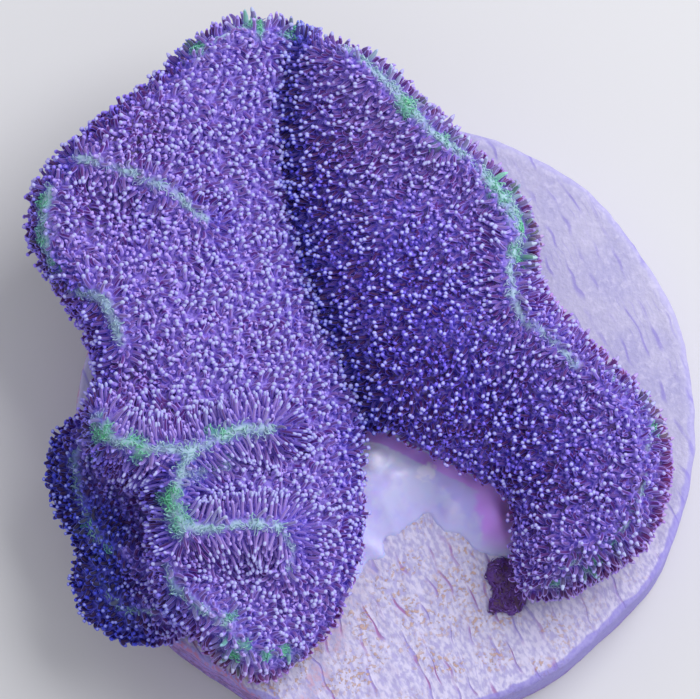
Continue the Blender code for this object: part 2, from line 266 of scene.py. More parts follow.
DISC_RADIUS = 16.0
DISC_SIDES = 288
DISC_EDGE_ROUNDING = 0.38
DISC_FOOT_CHAMFER = 0.35
DISC_CLEARANCE = 0.03  # how far the worn top lies below the top of the CAD solid
DISC_WAVES = ((3, 0.09, 0.4), (5, 0.09, 2.1), (9, 0.06, 4.0), (14, 0.06, 1.2))
DISC_CHIPS = 0.07
DISC_PORES = 0.04
DISC_CHIP_DRIFT = 0.5  # how fast the chips change from one height to another
DISC_LATTICE = 0.17
DRAG_DIRECTION = np.array((0.42, -0.907))
DRAG_PITCH = 0.86  # from step to step, in mm
DRAG_HEIGHT = 0.07
DRAG_EDGE = 0.90  # the share of the pitch at which a step drops
DRAG_HAIRLINES = 2.9  # faint hairlines for each step
STAIN_AND_SHADE_LIP = 0.15, 0.50  # how far below the top the stain and the painted shade on the side begin and are full
STAIN_CENTRE = (3.9, -8.9)  # where the grit and the red film are thickest
STAIN_RADIUS = 1.5
PORCELAIN = seen(187, 184, 213)
PORCELAIN_SHADE = seen(173, 170, 209)
PORCELAIN_SOUTH = seen(186, 180, 226)
PORCELAIN_GRAIN = seen(204, 200, 228)
PORCELAIN_PIT = seen(164, 148, 204)
PORCELAIN_CHALK = seen(212, 206, 234)
DRAG_LINE = seen(142, 132, 204)
RED_FILM = seen(164, 104, 156)
OCHRE = seen(196, 156, 128)
SIDE_LILAC = seen(140, 130, 212)
SIDE_PINK = seen(172, 124, 200)
SIDE_PIT = seen(78, 60, 140)
SIDE_BROWN = seen(128, 88, 134)
LIP_RED = seen(182, 104, 136)
CURVE_STEPS = 16  # between one point of an outline and the next


def smooth_loop(points, spacing):
    """A closed curve through the points, as even steps of about that spacing."""
    knots = [Vector(p) for p in points]
    curve = []
    for i in range(len(knots)):
        a, b, c, d = (knots[(i + k) % len(knots)] for k in (-1, 0, 1, 2))
        for t in np.linspace(0, 1, CURVE_STEPS, endpoint=False):
            bend = 2 * a - 5 * b + 4 * c - d
            twist = 3 * b - 3 * c + d - a
            curve.append(0.5 * (2 * b + (c - a) * t + bend * t**2 + twist * t**3))
    curve = np.array(curve + curve[:1])
    along = np.concatenate([[0], np.cumsum(np.linalg.norm(np.diff(curve, axis=0), axis=1))])
    count = round(along[-1] / spacing)
    stops = np.linspace(0, along[-1], count, endpoint=False)
    return np.column_stack([np.interp(stops, along, curve[:, k]) for k in (0, 1)])


def nearest_on_line(points, line):
    """Each point's distance to an open line, and the nearest place on it."""
    line = np.asarray(line, float)
    best = np.full(len(points), np.inf)
    spot = np.zeros((len(points), 2))
    for a, b in zip(line[:-1], line[1:]):
        along = np.clip((points - a) @ (b - a) / ((b - a) @ (b - a)), 0, 1)
        nearest = a + along[:, None] * (b - a)
        distance = np.linalg.norm(points - nearest, axis=1)
        closer = distance < best
        best[closer] = distance[closer]
        spot[closer] = nearest[closer]
    return best, spot


def depth_inside(points, loop):
    """How far each point is inside a closed loop; negative outside it."""
    edge, _ = nearest_on_line(points, np.vstack([loop, loop[:1]]))
    inside = np.zeros(len(points), bool)
    for a, b in zip(loop, np.roll(loop, -1, axis=0)):
        if a[1] == b[1]:
            continue
        crosses = (a[1] > points[:, 1]) != (b[1] > points[:, 1])
        at = a[0] + (points[:, 1] - a[1]) * (b[0] - a[0]) / (b[1] - a[1])
        inside ^= crosses & (points[:, 0] < at)
    return np.where(inside, edge, -edge)


def fade(x, start, end):
    """0 before start, 1 after end, and a smooth step between."""
    t = np.clip((x - start) / (end - start), 0, 1)
    return t * t * (3 - 2 * t)


def shoulder(depth, width):
    """The quarter-round by which a surface rolls over towards its margin, from 0 to 1."""
    t = np.clip(depth / width, 0, 1)
    return np.sqrt(1 - (1 - t) ** 2)


def bell(distance, width):
    """1 at no distance, falling off smoothly over about that width."""
    return np.exp(-((distance / width) ** 2))


def spot(plan, centre, radius):
    """1 at the centre, falling off smoothly over about that radius."""
    return np.exp(-((plan - centre) ** 2).sum(axis=1) / radius**2)


def ripple(points, size, layer=0.0):
    """Soft noise between about -1 and 1, with swells of that size. Each layer is another pattern."""
    return np.array([noise.noise(Vector((p[0] / size, p[1] / size, layer))) for p in points])


def lattice_inside(loop, spacing, clearance):
    """A triangular lattice of the points that lie inside the loop by at least the clearance."""
    low, high = loop.min(axis=0), loop.max(axis=0)
    row_height = spacing * math.sqrt(0.75)
    rows = np.arange(math.ceil((high[1] - low[1]) / row_height) + 1)
    columns = np.arange(math.ceil((high[0] - low[0]) / spacing) + 1)
    row, column = (grid.ravel() for grid in np.meshgrid(rows, columns, indexing="ij"))
    x = low[0] + (column + row % 2 / 2) * spacing
    lattice = np.column_stack([x, low[1] + row * row_height])
    return lattice[depth_inside(lattice, loop) > clearance]


def triangulate(loop, inner):
    """Triangles over the loop and the points inside it, anticlockwise from above."""
    plan = [Vector(p) for p in loop] + [Vector(p) for p in inner]
    border = [(i, (i + 1) % len(loop)) for i in range(len(loop))]
    corners, _, faces, *_ = delaunay_2d_cdt(plan, border, [], 1, 1e-6)
    turned = []
    for a, b, c in faces:
        area = (corners[b] - corners[a]).cross(corners[c] - corners[a])
        turned.append((a, b, c) if area > 0 else (a, c, b))
    return turned


def places(mesh):
    """The mesh's vertices, one row each."""
    place = np.empty(len(mesh.vertices) * 3)
    mesh.vertices.foreach_get("co", place)
    return place.reshape(-1, 3)


def store(mesh, name, values):
    """A number or a vector for each vertex, under that name."""
    kind = "FLOAT" if values.ndim == 1 else "FLOAT_VECTOR"
    layer = mesh.attributes.new(name, kind, "POINT")
    layer.data.foreach_set("value" if values.ndim == 1 else "vector", values.astype(np.float32).ravel())


def stands_for(piece, node):
    """The piece stands for that CAD node: it joins the root body, and the node is hidden."""
    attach(piece, "root")
    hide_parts(node)


def finished_piece(form, name, finish, node):
    """The bmesh in mm as a smooth piece that stands for a CAD node."""
    for vert in form.verts:
        vert.co *= MM
    mesh = bpy.data.meshes.new(name)
    form.to_mesh(mesh)
    form.free()
    mesh.materials.append(finish.material)
    mesh.shade_smooth()
    piece = stand(name, mesh)
    stands_for(piece, node)
    return piece


def disc_ring(inset, height):
    """The disc's uneven outline in plan, drawn in by the inset, with the rim's small chips."""
    layer = height * DISC_CHIP_DRIFT
    angle = np.linspace(0, 2 * math.pi, DISC_SIDES, endpoint=False)
    radius = DISC_RADIUS - inset
    radius = radius + sum(size * np.cos(count * angle + phase) for count, size, phase in DISC_WAVES)
    around = np.column_stack([np.cos(angle), np.sin(angle)])
    radius = radius + DISC_CHIPS * ripple(around * 12, 0.8, layer)
    radius = radius + DISC_PORES * ripple(around * DISC_RADIUS, 0.5, 3 * layer)
    return around * radius[:, None]


def rough_ground(plan):
    """Where the pressed face is open and grainy: 0 on the smooth north, 1 in the south."""
    return fade(-plan[:, 1] + 1.5 * ripple(plan, 2.2, 7.0), 3.0, 7.0)


def drag_steps(plan):
    """How many steps lie before each point across the drag, and how strong they are there."""
    along = plan @ DRAG_DIRECTION
    across = plan @ np.array((-DRAG_DIRECTION[1], DRAG_DIRECTION[0]))
    streak = np.column_stack([along, across])
    bend = 0.80 * ripple(streak * (0.15, 0.36), 1.0, 3.0)
    bend += 0.24 * ripple(streak * (0.8, 1.2), 0.8, 4.0)
    strength = fade(ripple(streak * (0.7, 1.1), 1.0, 8.0), -0.15, 0.30)
    return (across + bend) / DRAG_PITCH, strength


def drag_relief(plan):
    """The relief on the disc's top: small wavy steps along the drag, and grain between them."""
    steps, strength = drag_steps(plan)
    saw = steps - np.floor(steps)
    climb = np.where(saw < DRAG_EDGE, saw / DRAG_EDGE, (1 - saw) / (1 - DRAG_EDGE))
    rough = rough_ground(plan)
    grain = (0.012 + 0.030 * rough) * ripple(plan, 0.42, 6.0)
    step = DRAG_HEIGHT * (0.2 + 0.8 * strength) * (0.06 + 0.94 * rough)
    return -step * (1 - climb) + np.minimum(grain, DISC_CLEARANCE) - DISC_CLEARANCE


def ceramic_side(finish, colour, fine, blotch):
    """The disc's rim: a lilac bevel, laid on more to the south as painted shade, pink mottle, brown stain,
    pits and painted shade to the west and low down, and a red lip.
    """
    height = finish.axis("Z")
    ragged_edge = finish.plus(finish.attribute("edge"), finish.times(finish.noise(0.9, 4.0), -0.7))
    south = finish.step(finish.axis("Y"), 1.0, -7.0, 0.25, 0.75)
    # painted shade: more lilac on the bevel and side to the south, which is turned from the light
    colour = finish.mix(finish.times(finish.step(ragged_edge, 0.06, -0.10), south), colour, SIDE_LILAC)
    # partly a brown stain, partly painted shade: the west and the low part of the side are mottled, browned
    # and pitted darker
    west = finish.step(finish.plus(finish.axis("X"), finish.times(fine, 6.0)), 4.0, -5.0)
    lower = finish.step(height, 1.3, 0.5)
    below_lip = finish.step(height, *(DISC_TOP - drop for drop in STAIN_AND_SHADE_LIP))
    stain_and_painted_shade = finish.sum("MAXIMUM", finish.times(west, 0.85), finish.times(lower, 0.6))
    stain_and_painted_shade = finish.times(stain_and_painted_shade, below_lip)
    mottle = finish.mix(finish.patches(3.6, 6.0, 0.42, 0.58), SIDE_LILAC, SIDE_PINK)
    colour = finish.mix(stain_and_painted_shade, colour, mottle)
    brown = finish.times(finish.times(finish.patches(1.5, 7.0, 0.42, 0.60), west), below_lip)
    colour = finish.paint(brown, 0.70, colour, SIDE_BROWN)
    pore = finish.times(finish.patches(5.5, 5.0, 0.50, 0.64), stain_and_painted_shade)
    colour = finish.paint(pore, 0.75, colour, SIDE_PIT)
    waver = finish.times(finish.sum("SUBTRACT", finish.noise(0.6, 4.0), 0.5), 1.2)
    near_lip = finish.plus(finish.sum("SUBTRACT", height, DISC_TOP - 0.25), waver)
    lip = finish.step(finish.sum("ABSOLUTE", near_lip), 0.05, 0.24, 0.7, 0.0)
    lip = finish.times(lip, finish.times(west, finish.step(blotch, 0.44, 0.54)))
    return finish.mix(lip, colour, LIP_RED)


def ceramic_finish():
    finish = Finish("porous ceramic", Roughness=0.85, Specular_IOR_Level=0.35)
    fine = finish.noise(3.4, 4.0)
    grain = finish.noise(7.0, 3.0)
    blotch = finish.noise(1.0, 5.0, finish.stretched(DRAG_DIRECTION, 2.8, 5.0))
    rough = finish.attribute("rough")
    drag = finish.attribute("drag")
    strength = finish.attribute("drag_strength")
    stain = finish.attribute("stain")
    top = finish.step(finish.axis("Z"), DISC_TOP - 0.40, DISC_TOP - 0.15)

    saw = finish.sum("FRACT", finish.plus(drag, finish.times(grain, 0.05)))
    line_width = finish.plus(finish.times(rough, -0.07), 0.18)
    line = finish.step(finish.away(saw, DRAG_EDGE + 0.02), 0.02, line_width, 1.0, 0.0)
    line = finish.times(line, finish.times(strength, top))
    hair = finish.sum("FRACT", finish.times(drag, DRAG_HAIRLINES))
    hair = finish.step(finish.away(hair, 0.5), 0.03, 0.12, 1.0, 0.0)
    hair = finish.times(finish.times(hair, finish.patches(0.42, 2.0, 0.52, 0.66)), top)

    colour = finish.mix(finish.patches(0.28, 2.0, 0.38, 0.66), PORCELAIN, PORCELAIN_SHADE)
    colour = finish.paint(finish.step(fine, 0.50, 0.68), 0.55, colour, PORCELAIN_GRAIN)
    pits = finish.times(finish.step(blotch, 0.49, 0.34), finish.plus(rough, 0.10))
    colour = finish.paint(pits, 0.50, colour, PORCELAIN_PIT)
    colour = finish.paint(rough, 0.4, colour, PORCELAIN_SOUTH)
    chalk = finish.times(finish.step(blotch, 0.40, 0.62), finish.plus(rough, 0.25))
    colour = finish.paint(chalk, 0.85, colour, PORCELAIN_CHALK)
    groove = finish.times(finish.step(saw, 0.35, DRAG_EDGE), strength)
    groove = finish.times(groove, finish.times(rough, 0.35))
    colour = finish.paint(groove, top, colour, PORCELAIN_PIT)
    colour = finish.paint(hair, 0.35, colour, DRAG_LINE)
    colour = finish.paint(line, 0.75, colour, DRAG_LINE)
    red = finish.sum("MAXIMUM", finish.patches(0.7, 3.0, 0.45, 0.58), stain)
    red = finish.times(line, red)
    colour = finish.paint(red, finish.times(rough, 0.80), colour, RED_FILM)
    clump = finish.sum("MAXIMUM", finish.patches(0.62, 3.0, 0.40, 0.62), stain)
    grit = finish.times(finish.patches(5.0, 6.0, 0.54, 0.61), clump)
    grit = finish.times(grit, finish.plus(rough, 0.04))
    grit = finish.times(grit, finish.step(finish.axis("X"), 11.0, 7.5, 0.25, 1.0))
    colour = finish.paint(grit, 0.72, colour, OCHRE)
    finish.wear(ceramic_side(finish, colour, fine, blotch))

    relief = finish.times(fine, 0.6)
    for part, share in ((grain, 0.35), (finish.times(line, rough), -0.5), (grit, 0.4)):
        relief = finish.plus(relief, finish.times(part, share))
    finish.bump(relief, 0.07, 0.8)
    return finish


def disc_profile():
    """The disc's side from its foot up, as (how far it is drawn in, height)."""
    rounding = DISC_EDGE_ROUNDING
    profile = [(DISC_FOOT_CHAMFER, 0.0), (DISC_FOOT_CHAMFER * 0.3, 0.1), (0.0, DISC_FOOT_CHAMFER)]
    profile += [(0.0, z) for z in np.linspace(2 * DISC_FOOT_CHAMFER, DISC_TOP - rounding - 0.2, 8)]
    for turn in np.linspace(0, math.pi / 2, 6):
        drop = rounding * (1 - math.sin(turn))
        profile.append((rounding * (1 - math.cos(turn)), DISC_TOP - drop - DISC_CLEARANCE))
    return profile


def make_disc():
    form = bmesh.new()
    rings = []
    for inset, z in disc_profile():
        ring = disc_ring(inset, z)
        rings.append([form.verts.new((x, y, z)) for x, y in ring])
    for low, high in zip(rings[:-1], rings[1:]):
        for i in range(DISC_SIDES):
            after = (i + 1) % DISC_SIDES
            form.faces.new((low[i], low[after], high[after], high[i]))
    form.faces.new(rings[0][::-1])
    loop = disc_ring(DISC_EDGE_ROUNDING, DISC_TOP)
    inner = lattice_inside(loop, DISC_LATTICE, 0.6 * DISC_LATTICE)
    relief = drag_relief(inner) * fade(depth_inside(inner, loop), 0.0, 0.6)
    heights = DISC_TOP + np.minimum(relief, 0)
    skin = rings[-1] + [form.verts.new((x, y, z)) for (x, y), z in zip(inner, heights)]
    for a, b, c in triangulate(loop, inner):
        form.faces.new((skin[a], skin[b], skin[c]))
    disc = finished_piece(form, "ceramic_disc", ceramic_finish(), "frag_disc")
    plan = places(disc.data)[:, :2] / MM
    steps, strength = drag_steps(plan)
    store(disc.data, "drag", steps)
    store(disc.data, "drag_strength", strength)
    store(disc.data, "rough", rough_ground(plan))
    store(disc.data, "stain", spot(plan, STAIN_CENTRE, STAIN_RADIUS))
    store(disc.data, "edge", depth_inside(plan, disc_ring(0.0, DISC_TOP)))


make_disc()

# ---------------------------------------------------------------------------
# Glue pad. A squeezed bead of gel glue, cured milky and shiny, with rounded
# blobs where it welled up in the notch and a thin edge that crept out along
# the disc's steps. Purple tissue has begun to grow over its right side.
# ---------------------------------------------------------------------------

glue_low, glue_high = (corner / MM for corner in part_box("glue_pad"))
GLUE_OUTLINE = (
    (-1.6, -8.9), (-3.2, -8.0), (-4.6, -4.6), (-4.4, 0.6), (-1.6, 3.6), (3.0, 3.0),
    (7.0, 0.2), (8.2, -3.4), (7.6, -6.2), (6.6, -7.5), (5.8, -7.6), (4.95, -7.35), (4.3, -7.0),
    (3.9, -6.5), (3.4, -6.3), (2.9, -6.2), (2.5, -5.8), (2.15, -5.3), (1.9, -5.45), (1.5, -5.8),
    (1.0, -6.05), (0.8, -6.4), (0.2, -6.5), (0.0, -6.7), (0.05, -7.45), (-0.15, -7.65), (-0.9, -7.8),
    (-1.1, -8.2),
)  # fmt: skip
GLUE_LATTICE = 0.20
GLUE_SHOULDERS = (0.05, 0.01)  # how wide the rolled margin is, above and below
GLUE_MARGIN = 0.5  # the share of the thickness that it lies at
GLUE_SINK = 0.60  # closes the gap that the CAD solids keep
GLUE_EDGE_SINK = 0.12  # how far the film's edge dips into the disc
GLUE_FILM_HEIGHT = 0.05
GLUE_WELL_UP = 2.6  # how far inside the film's edge the pad reaches its full height, in mm
GLUE_SLUMP = 0.45  # how far the pad lies below the top of the CAD solid
GLUE_SWELL = 0.12
GLUE_BLOB_SKIRT = 0.10
GLUE_BLOB_LIMIT = glue_high.z + 0.25  # no blob stands higher
# (rise, radius, centre in plan)
GLUE_BLOBS = (
    (0.26, 0.62, (-0.62, -2.60)), (0.10, 0.50, (2.05, -3.20)), (0.10, 0.45, (0.4, -3.4)),
    (0.08, 0.6, (3.4, -5.0)), (0.16, 0.9, (5.3, -5.6)), (0.08, 0.4, (2.9, -4.1)),
)  # fmt: skip
# Purple tissue creeping over the pad: (half-width in mm, points in plan)
GLUE_FILM = (
    (0.42, ((-1.0, -1.3), (0.2, -1.6), (1.4, -2.3), (3.1, -3.1), (4.7, -3.9))),
    (1.55, ((5.5, -4.1), (5.9, -5.2), (6.0, -6.4), (5.8, -7.4))),
)  # fmt: skip
GLUE_MILK = seen(204, 204, 250)
GLUE_CLEAR = seen(190, 182, 250)
GLUE_THIN = seen(196, 190, 240)
GLUE_BLOB_WHITE = seen(228, 226, 255)
GLUE_FILM_PURPLE = seen(206, 148, 255)
GLUE_PAINTED_LIGHT_CENTRE = (-0.3, -2.3)  # painted light: the gel is painted whiter round this spot, at the head of the notch, where the lobes shade it
GLUE_PAINTED_LIGHT_RADIUS = 1.7


def level(height):
    """A flat skin at that height, for cushion."""
    return lambda plan: np.full(len(plan), height)


def cushion(outline, top, underside, shoulders, margin, spacing):
    """A closed form whose upper and lower skins meet at a rolled margin, as a bmesh in mm."""
    loop = smooth_loop(outline, spacing)
    inner = lattice_inside(loop, spacing, 0.55 * spacing)
    plan = np.vstack([loop, inner])
    depth = np.maximum(depth_inside(plan, loop), 0)
    depth[: len(loop)] = 0
    high, low = top(plan), underside(plan)
    middle = low + margin * (high - low)
    high = middle + (high - middle) * shoulder(depth, shoulders[0])
    low = middle - (middle - low) * shoulder(depth, shoulders[1])
    form = bmesh.new()
    upper = [form.verts.new((x, y, z)) for (x, y), z in zip(plan, high)]
    lower = upper[: len(loop)]
    lower += [form.verts.new((x, y, z)) for (x, y), z in zip(inner, low[len(loop) :])]
    for a, b, c in triangulate(loop, inner):
        if max(a, b, c) >= len(loop):  # a corner of the margin has no thickness
            form.faces.new((upper[a], upper[b], upper[c]))
            form.faces.new((lower[c], lower[b], lower[a]))
    return form


def glue_top(plan):
    """A thin film at the edge, welling up into a lumpy pad with rounded blobs on it."""
    depth = depth_inside(plan, smooth_loop(GLUE_OUTLINE, 0.4))
    pad = glue_high.z - DISC_TOP - GLUE_SLUMP + GLUE_SWELL * ripple(plan, 1.8, 9.0)
    pad += 0.05 * ripple(plan, 0.6, 2.0)
    height = DISC_TOP - GLUE_EDGE_SINK
    height = height + (GLUE_EDGE_SINK + GLUE_FILM_HEIGHT) * fade(depth, -0.1, 0.3)
    height += (pad - GLUE_FILM_HEIGHT) * fade(depth, 0.2, GLUE_WELL_UP)
    for rise, radius, centre in GLUE_BLOBS:
        away = np.sqrt(((plan - centre) ** 2).sum(axis=1)) / radius
        height += rise * np.sqrt(np.clip(1 - away**2, 0, 1)) + GLUE_BLOB_SKIRT * np.exp(-(away**2))
    return np.minimum(height, GLUE_BLOB_LIMIT)


def glue_finish():
    finish = Finish("cured gel glue", Roughness=0.42, Subsurface_Weight=0.5,
                    Subsurface_Scale=1.0 * MM, Coat_Weight=0.15, Coat_Roughness=0.25)  # fmt: skip
    blob = 0.0
    for _, radius, centre in GLUE_BLOBS[:2]:
        squares = [finish.sum("POWER", finish.sum("SUBTRACT", finish.axis(letter), middle), 2.0)
                   for letter, middle in zip("XY", centre)]  # fmt: skip
        away = finish.sum("SQRT", finish.plus(*squares))
        away = finish.plus(away, finish.times(finish.noise(2.6, 5.0), 1.1))
        blob = finish.sum("MAXIMUM", blob, finish.step(away, radius + 0.30, radius + 0.62, 0.75, 0.0))
    colour = finish.mix(finish.patches(0.8, 3.0, 0.40, 0.62), GLUE_MILK, GLUE_CLEAR)
    # painted light: whiter gel round the head of the notch, against the shade of the lobes
    colour = finish.paint(finish.attribute("milky"), 0.6, colour, GLUE_BLOB_WHITE)
    film = finish.plus(finish.attribute("film"), finish.times(finish.noise(1.3, 5.0), 0.8))
    colour = finish.paint(finish.step(film, 0.50, 0.86), 0.90, colour, GLUE_FILM_PURPLE)
    colour = finish.mix(blob, colour, GLUE_BLOB_WHITE)
    finish.wear(finish.mix(finish.attribute("thick"), GLUE_THIN, colour))
    finish.bump(finish.noise(1.4, 2.0), 0.05, 0.15)
    return finish


def make_glue_pad():
    bottom = level(glue_low.z - GLUE_SINK)
    form = cushion(GLUE_OUTLINE, glue_top, bottom, GLUE_SHOULDERS, GLUE_MARGIN, GLUE_LATTICE)
    pad = finished_piece(form, "gel_glue", glue_finish(), "glue_pad")
    plan = places(pad.data)[:, :2] / MM
    store(pad.data, "thick", fade(depth_inside(plan, smooth_loop(GLUE_OUTLINE, 0.4)), 0.1, 1.3))
    store(pad.data, "milky", spot(plan, GLUE_PAINTED_LIGHT_CENTRE, GLUE_PAINTED_LIGHT_RADIUS))
    film = [1 - nearest_on_line(plan, line)[0] / half_width for half_width, line in GLUE_FILM]
    store(pad.data, "film", np.clip(np.maximum(*film), 0, 1))


make_glue_pad()

# ---------------------------------------------------------------------------
# Coral colony. One growth of living tissue over a thin stony plate: two
# lobes that meet in a valley and part round a notch, low ridges with green
# crests, and a lower ledge on the left that hangs past the disc.
# ---------------------------------------------------------------------------

COLONY_OUTLINE = (
    (-7.1, 20.0), (-5.0, 19.8), (-2.7, 18.7), (-0.3, 17.3), (1.8, 15.3), (5.2, 12.1),
    (6.7, 10.5), (7.5, 8.7), (7.5, 6.6), (8.4, 4.9), (10.9, 2.2), (13.1, -0.2),
    (14.1, -2.4), (14.0, -4.7), (13.0, -7.1), (10.8, -8.8), (8.5, -9.8), (6.7, -9.5),
    (6.4, -7.7), (6.2, -5.0), (3.9, -3.5), (1.3, -2.15), (-0.5, -1.1), (-1.35, -2.4),
    (-1.2, -4.6), (-1.3, -7.4), (-2.0, -9.9), (-3.7, -12.4), (-5.8, -13.9), (-7.8, -13.5),
    (-9.6, -11.9), (-11.3, -10.3), (-11.8, -8.1), (-11.6, -6.0), (-12.6, -4.4),
    (-14.5, -3.1), (-15.2, -1.2), (-14.7, 1.0), (-15.2, 3.4), (-16.8, 6.0), (-18.0, 8.0),
    (-18.1, 10.3), (-16.7, 12.5), (-14.3, 14.7), (-11.9, 16.6), (-9.7, 18.7),
)  # fmt: skip
LEDGE_OUTLINE = (
    (-15.6, -0.2), (-17.1, -1.4), (-17.5, -3.4), (-16.8, -5.6), (-15.9, -7.0),
    (-16.1, -8.6), (-15.5, -10.5), (-14.0, -11.8), (-12.0, -12.2), (-9.9, -11.3),
    (-8.8, -8.9), (-8.8, -5.5), (-10.4, -2.1), (-13.2, -0.5),
)  # fmt: skip
VALLEY_LINE = (
    (-4.9, 19.0), (-5.4, 15.7), (-5.3, 12.8), (-5.0, 10.1), (-4.3, 6.9), (-2.9, 3.2),
    (-1.6, 0.3), (-1.2, -1.3),
)  # fmt: skip
NOTCH_LEFT_SIDE = ((-1.0, -4.9), (-1.3, -8.0), (-2.6, -10.6), (-4.9, -13.4))
NOTCH_RIGHT_SIDE = ((2.0, -1.8), (5.3, -3.6), (6.5, -5.9), (6.8, -9.8))

# (height, half-width, half-width of the pale crest, share of green in it, points in plan)
RIDGES = (
    (0.60, 0.65, 0.20, 0.60, ((-16.0, 12.1), (-13.1, 11.4), (-11.3, 10.6), (-10.1, 9.8), (-9.2, 9.1))),
    (0.55, 0.70, 0.22, 0.50, ((-17.1, 10.6), (-17.5, 9.2), (-17.3, 7.3), (-16.8, 6.0), (-15.8, 5.2),
                              (-14.4, 4.8), (-13.8, 3.6), (-13.4, 2.4))),
    (1.25, 0.90, 0.42, 0.95, ((-14.8, -1.3), (-14.0, -2.5), (-12.4, -3.2), (-9.9, -3.2), (-8.7, -2.7),
                              (-7.4, -2.0), (-5.9, -1.9))),
    (1.30, 0.90, 0.40, 0.95, ((-9.7, -3.2), (-10.5, -4.7), (-10.8, -6.2), (-10.1, -7.2))),
    (1.30, 0.90, 0.24, 0.85, ((-10.1, -7.2), (-8.4, -7.1), (-6.9, -6.8), (-5.3, -7.0))),
    (0.10, 0.80, 0.40, 0.45, ((-10.4, -4.6), (-9.3, -4.1), (-8.1, -3.7))),
    (0.40, 0.70, 0.14, 0.10, ((-5.3, -7.0), (-4.7, -7.9), (-5.0, -9.1))),
    (0.70, 0.80, 0.16, 0.70, ((-11.0, -8.7), (-10.8, -9.9), (-9.1, -11.1), (-7.9, -11.9),
                              (-7.4, -12.8))),
    (0.60, 0.90, 0.32, 0.70, ((-2.1, 17.9), (-0.3, 16.2), (1.0, 14.8), (2.2, 13.3), (4.0, 12.0),
                              (5.6, 10.6), (6.5, 9.3), (6.7, 7.8), (6.2, 6.2), (6.4, 4.7))),
    (0.40, 0.80, 0.15, 0.30, ((6.4, 4.7), (6.8, 3.6), (8.3, 2.6), (9.5, 1.3))),
    (0.35, 0.90, 0.06, 0.25, ((11.1, 1.0), (12.5, -0.6), (13.2, -2.4), (13.0, -4.6), (12.1, -6.8),
                              (10.3, -8.2), (8.4, -9.1))),
    (0.35, 0.80, 0.05, 0.30, ((-10.0, 17.6), (-7.6, 19.2), (-4.7, 19.0))),
)  # fmt: skip
LEDGE_RIDGES = (
    (0.55, 0.70, 0.14, 0.70, ((-15.4, -1.3), (-16.0, -2.6), (-15.7, -4.4), (-15.0, -6.0))),
    (0.75, 0.70, 0.16, 0.90, ((-15.0, -6.4), (-14.2, -7.3), (-13.0, -8.1), (-11.5, -8.9))),
    (0.50, 0.70, 0.14, 0.70, ((-14.6, -8.6), (-14.2, -9.8), (-13.1, -10.5), (-11.6, -10.7))),
)  # fmt: skip
# Swellings and hollows: (rise, radius, centre in plan)
BUMPS = (
    (0.55, 1.6, (3.8, 2.7)), (0.45, 1.7, (-0.4, 8.5)), (0.40, 1.8, (10.1, -3.9)),
    (0.35, 1.6, (8.8, -7.4)), (0.30, 1.4, (-7.4, -4.8)), (0.30, 1.8, (-12.0, 5.8)),
    (-0.50, 1.9, (-7.2, -9.4)), (-0.60, 1.6, (-12.4, 0.4)), (-0.40, 1.5, (6.0, -0.6)),
    (-0.45, 1.5, (-13.2, 9.2)),
)  # fmt: skip
# Where the green is brightest: (strength, radius, centre in plan)
GREEN_BLOOMS = (
    (0.9, 0.9, (1.3, 14.6)), (0.7, 0.8, (2.6, 12.9)), (0.9, 0.9, (5.8, 10.3)), (1.0, 0.9, (6.9, 8.6)),
    (0.7, 0.7, (6.6, 6.9)), (1.0, 0.9, (-14.6, -2.2)), (0.9, 0.8, (-12.6, -3.0)), (0.8, 0.9, (-8.4, -2.3)),
    (1.0, 0.8, (-10.8, -5.7)), (0.8, 0.7, (-10.2, -6.9)), (1.0, 0.8, (-7.6, -12.9)),
    (0.9, 0.5, (-6.1, -13.2)), (0.9, 0.5, (-5.0, -12.8)), (0.7, 0.8, (-7.8, -11.2)),
    (0.8, 0.7, (-17.7, 8.2)), (0.9, 0.7, (-17.1, 6.4)), (0.8, 0.7, (-9.8, 18.0)), (0.9, 0.7, (-6.7, 19.3)),
    (0.9, 0.6, (-4.8, 19.1)), (0.9, 0.5, (13.2, -0.6)), (0.8, 0.5, (13.6, -1.8)), (0.6, 0.5, (12.6, -6.4)),
    (0.7, 0.5, (11.4, -7.6)), (0.9, 0.6, (10.2, -8.6)), (0.6, 0.6, (8.6, -9.6)), (0.6, 0.6, (-16.8, 11.3)),
    (0.7, 0.6, (-17.5, 9.9)), (0.6, 0.6, (-14.4, 0.6)), (0.6, 0.6, (-14.3, -7.6)), (0.5, 0.6, (-15.2, -6.2)),
    (0.5, 0.6, (-10.9, -9.9)),
)  # fmt: skip
# Patches where the tentacles are wine red inside: (radius, centre in plan)
WINE_SPOTS = (
    (1.2, (-4.9, -2.1)), (1.1, (-10.6, -1.2)), (1.4, (-12.9, 0.0)), (0.9, (-9.6, -8.3)),
    (1.0, (-12.9, 12.6)), (0.8, (-9.3, 10.4)), (2.0, (-13.2, 13.8)), (1.2, (-15.2, 9.6)),
    (1.0, (-6.2, 3.0)), (1.3, (-2.6, 12.4)), (1.9, (1.8, -0.7)), (1.3, (-0.7, 1.6)),
)  # fmt: skip
OUTER_RIGHT_RIM = (
    (-2.1, 17.9), (1.0, 14.8), (5.6, 10.6), (6.7, 7.8), (8.3, 4.6), (11.1, 1.8), (13.2, -2.4),
    (12.6, -6.8), (8.4, -9.6),
)  # fmt: skip

VALLEY_FLOOR = 7.6
VALLEY_HEAD_RISE, VALLEY_HEAD_START, VALLEY_HEAD_END = 1.7, 8.0, 19.0
LEFT_LOBE_RISE, LEFT_LOBE_RUN = 2.9, 5.0
RIGHT_LOBE_RISE, RIGHT_LOBE_RUN = 3.5, 3.4
LOBE_SWELL, LOBE_SWELL_SIZE = 0.28, 3.2
UNDERSIDE = DISC_TOP + 0.3
ARCH_TOP = glue_high.z + 0.2
ARCH_FADE = 2.4
OVERHANG_LIFT, OVERHANG_START, OVERHANG_END = 1.5, 14.5, 20.5
LEDGE_TOP = DISC_TOP + 2.2
LEDGE_DROP, LEDGE_DROP_START, LEDGE_DROP_END = 1.1, 14.0, 18.0
LEDGE_SWELL, LEDGE_SWELL_SIZE = 0.25, 2.4
LEDGE_CLEARANCE = 1.4
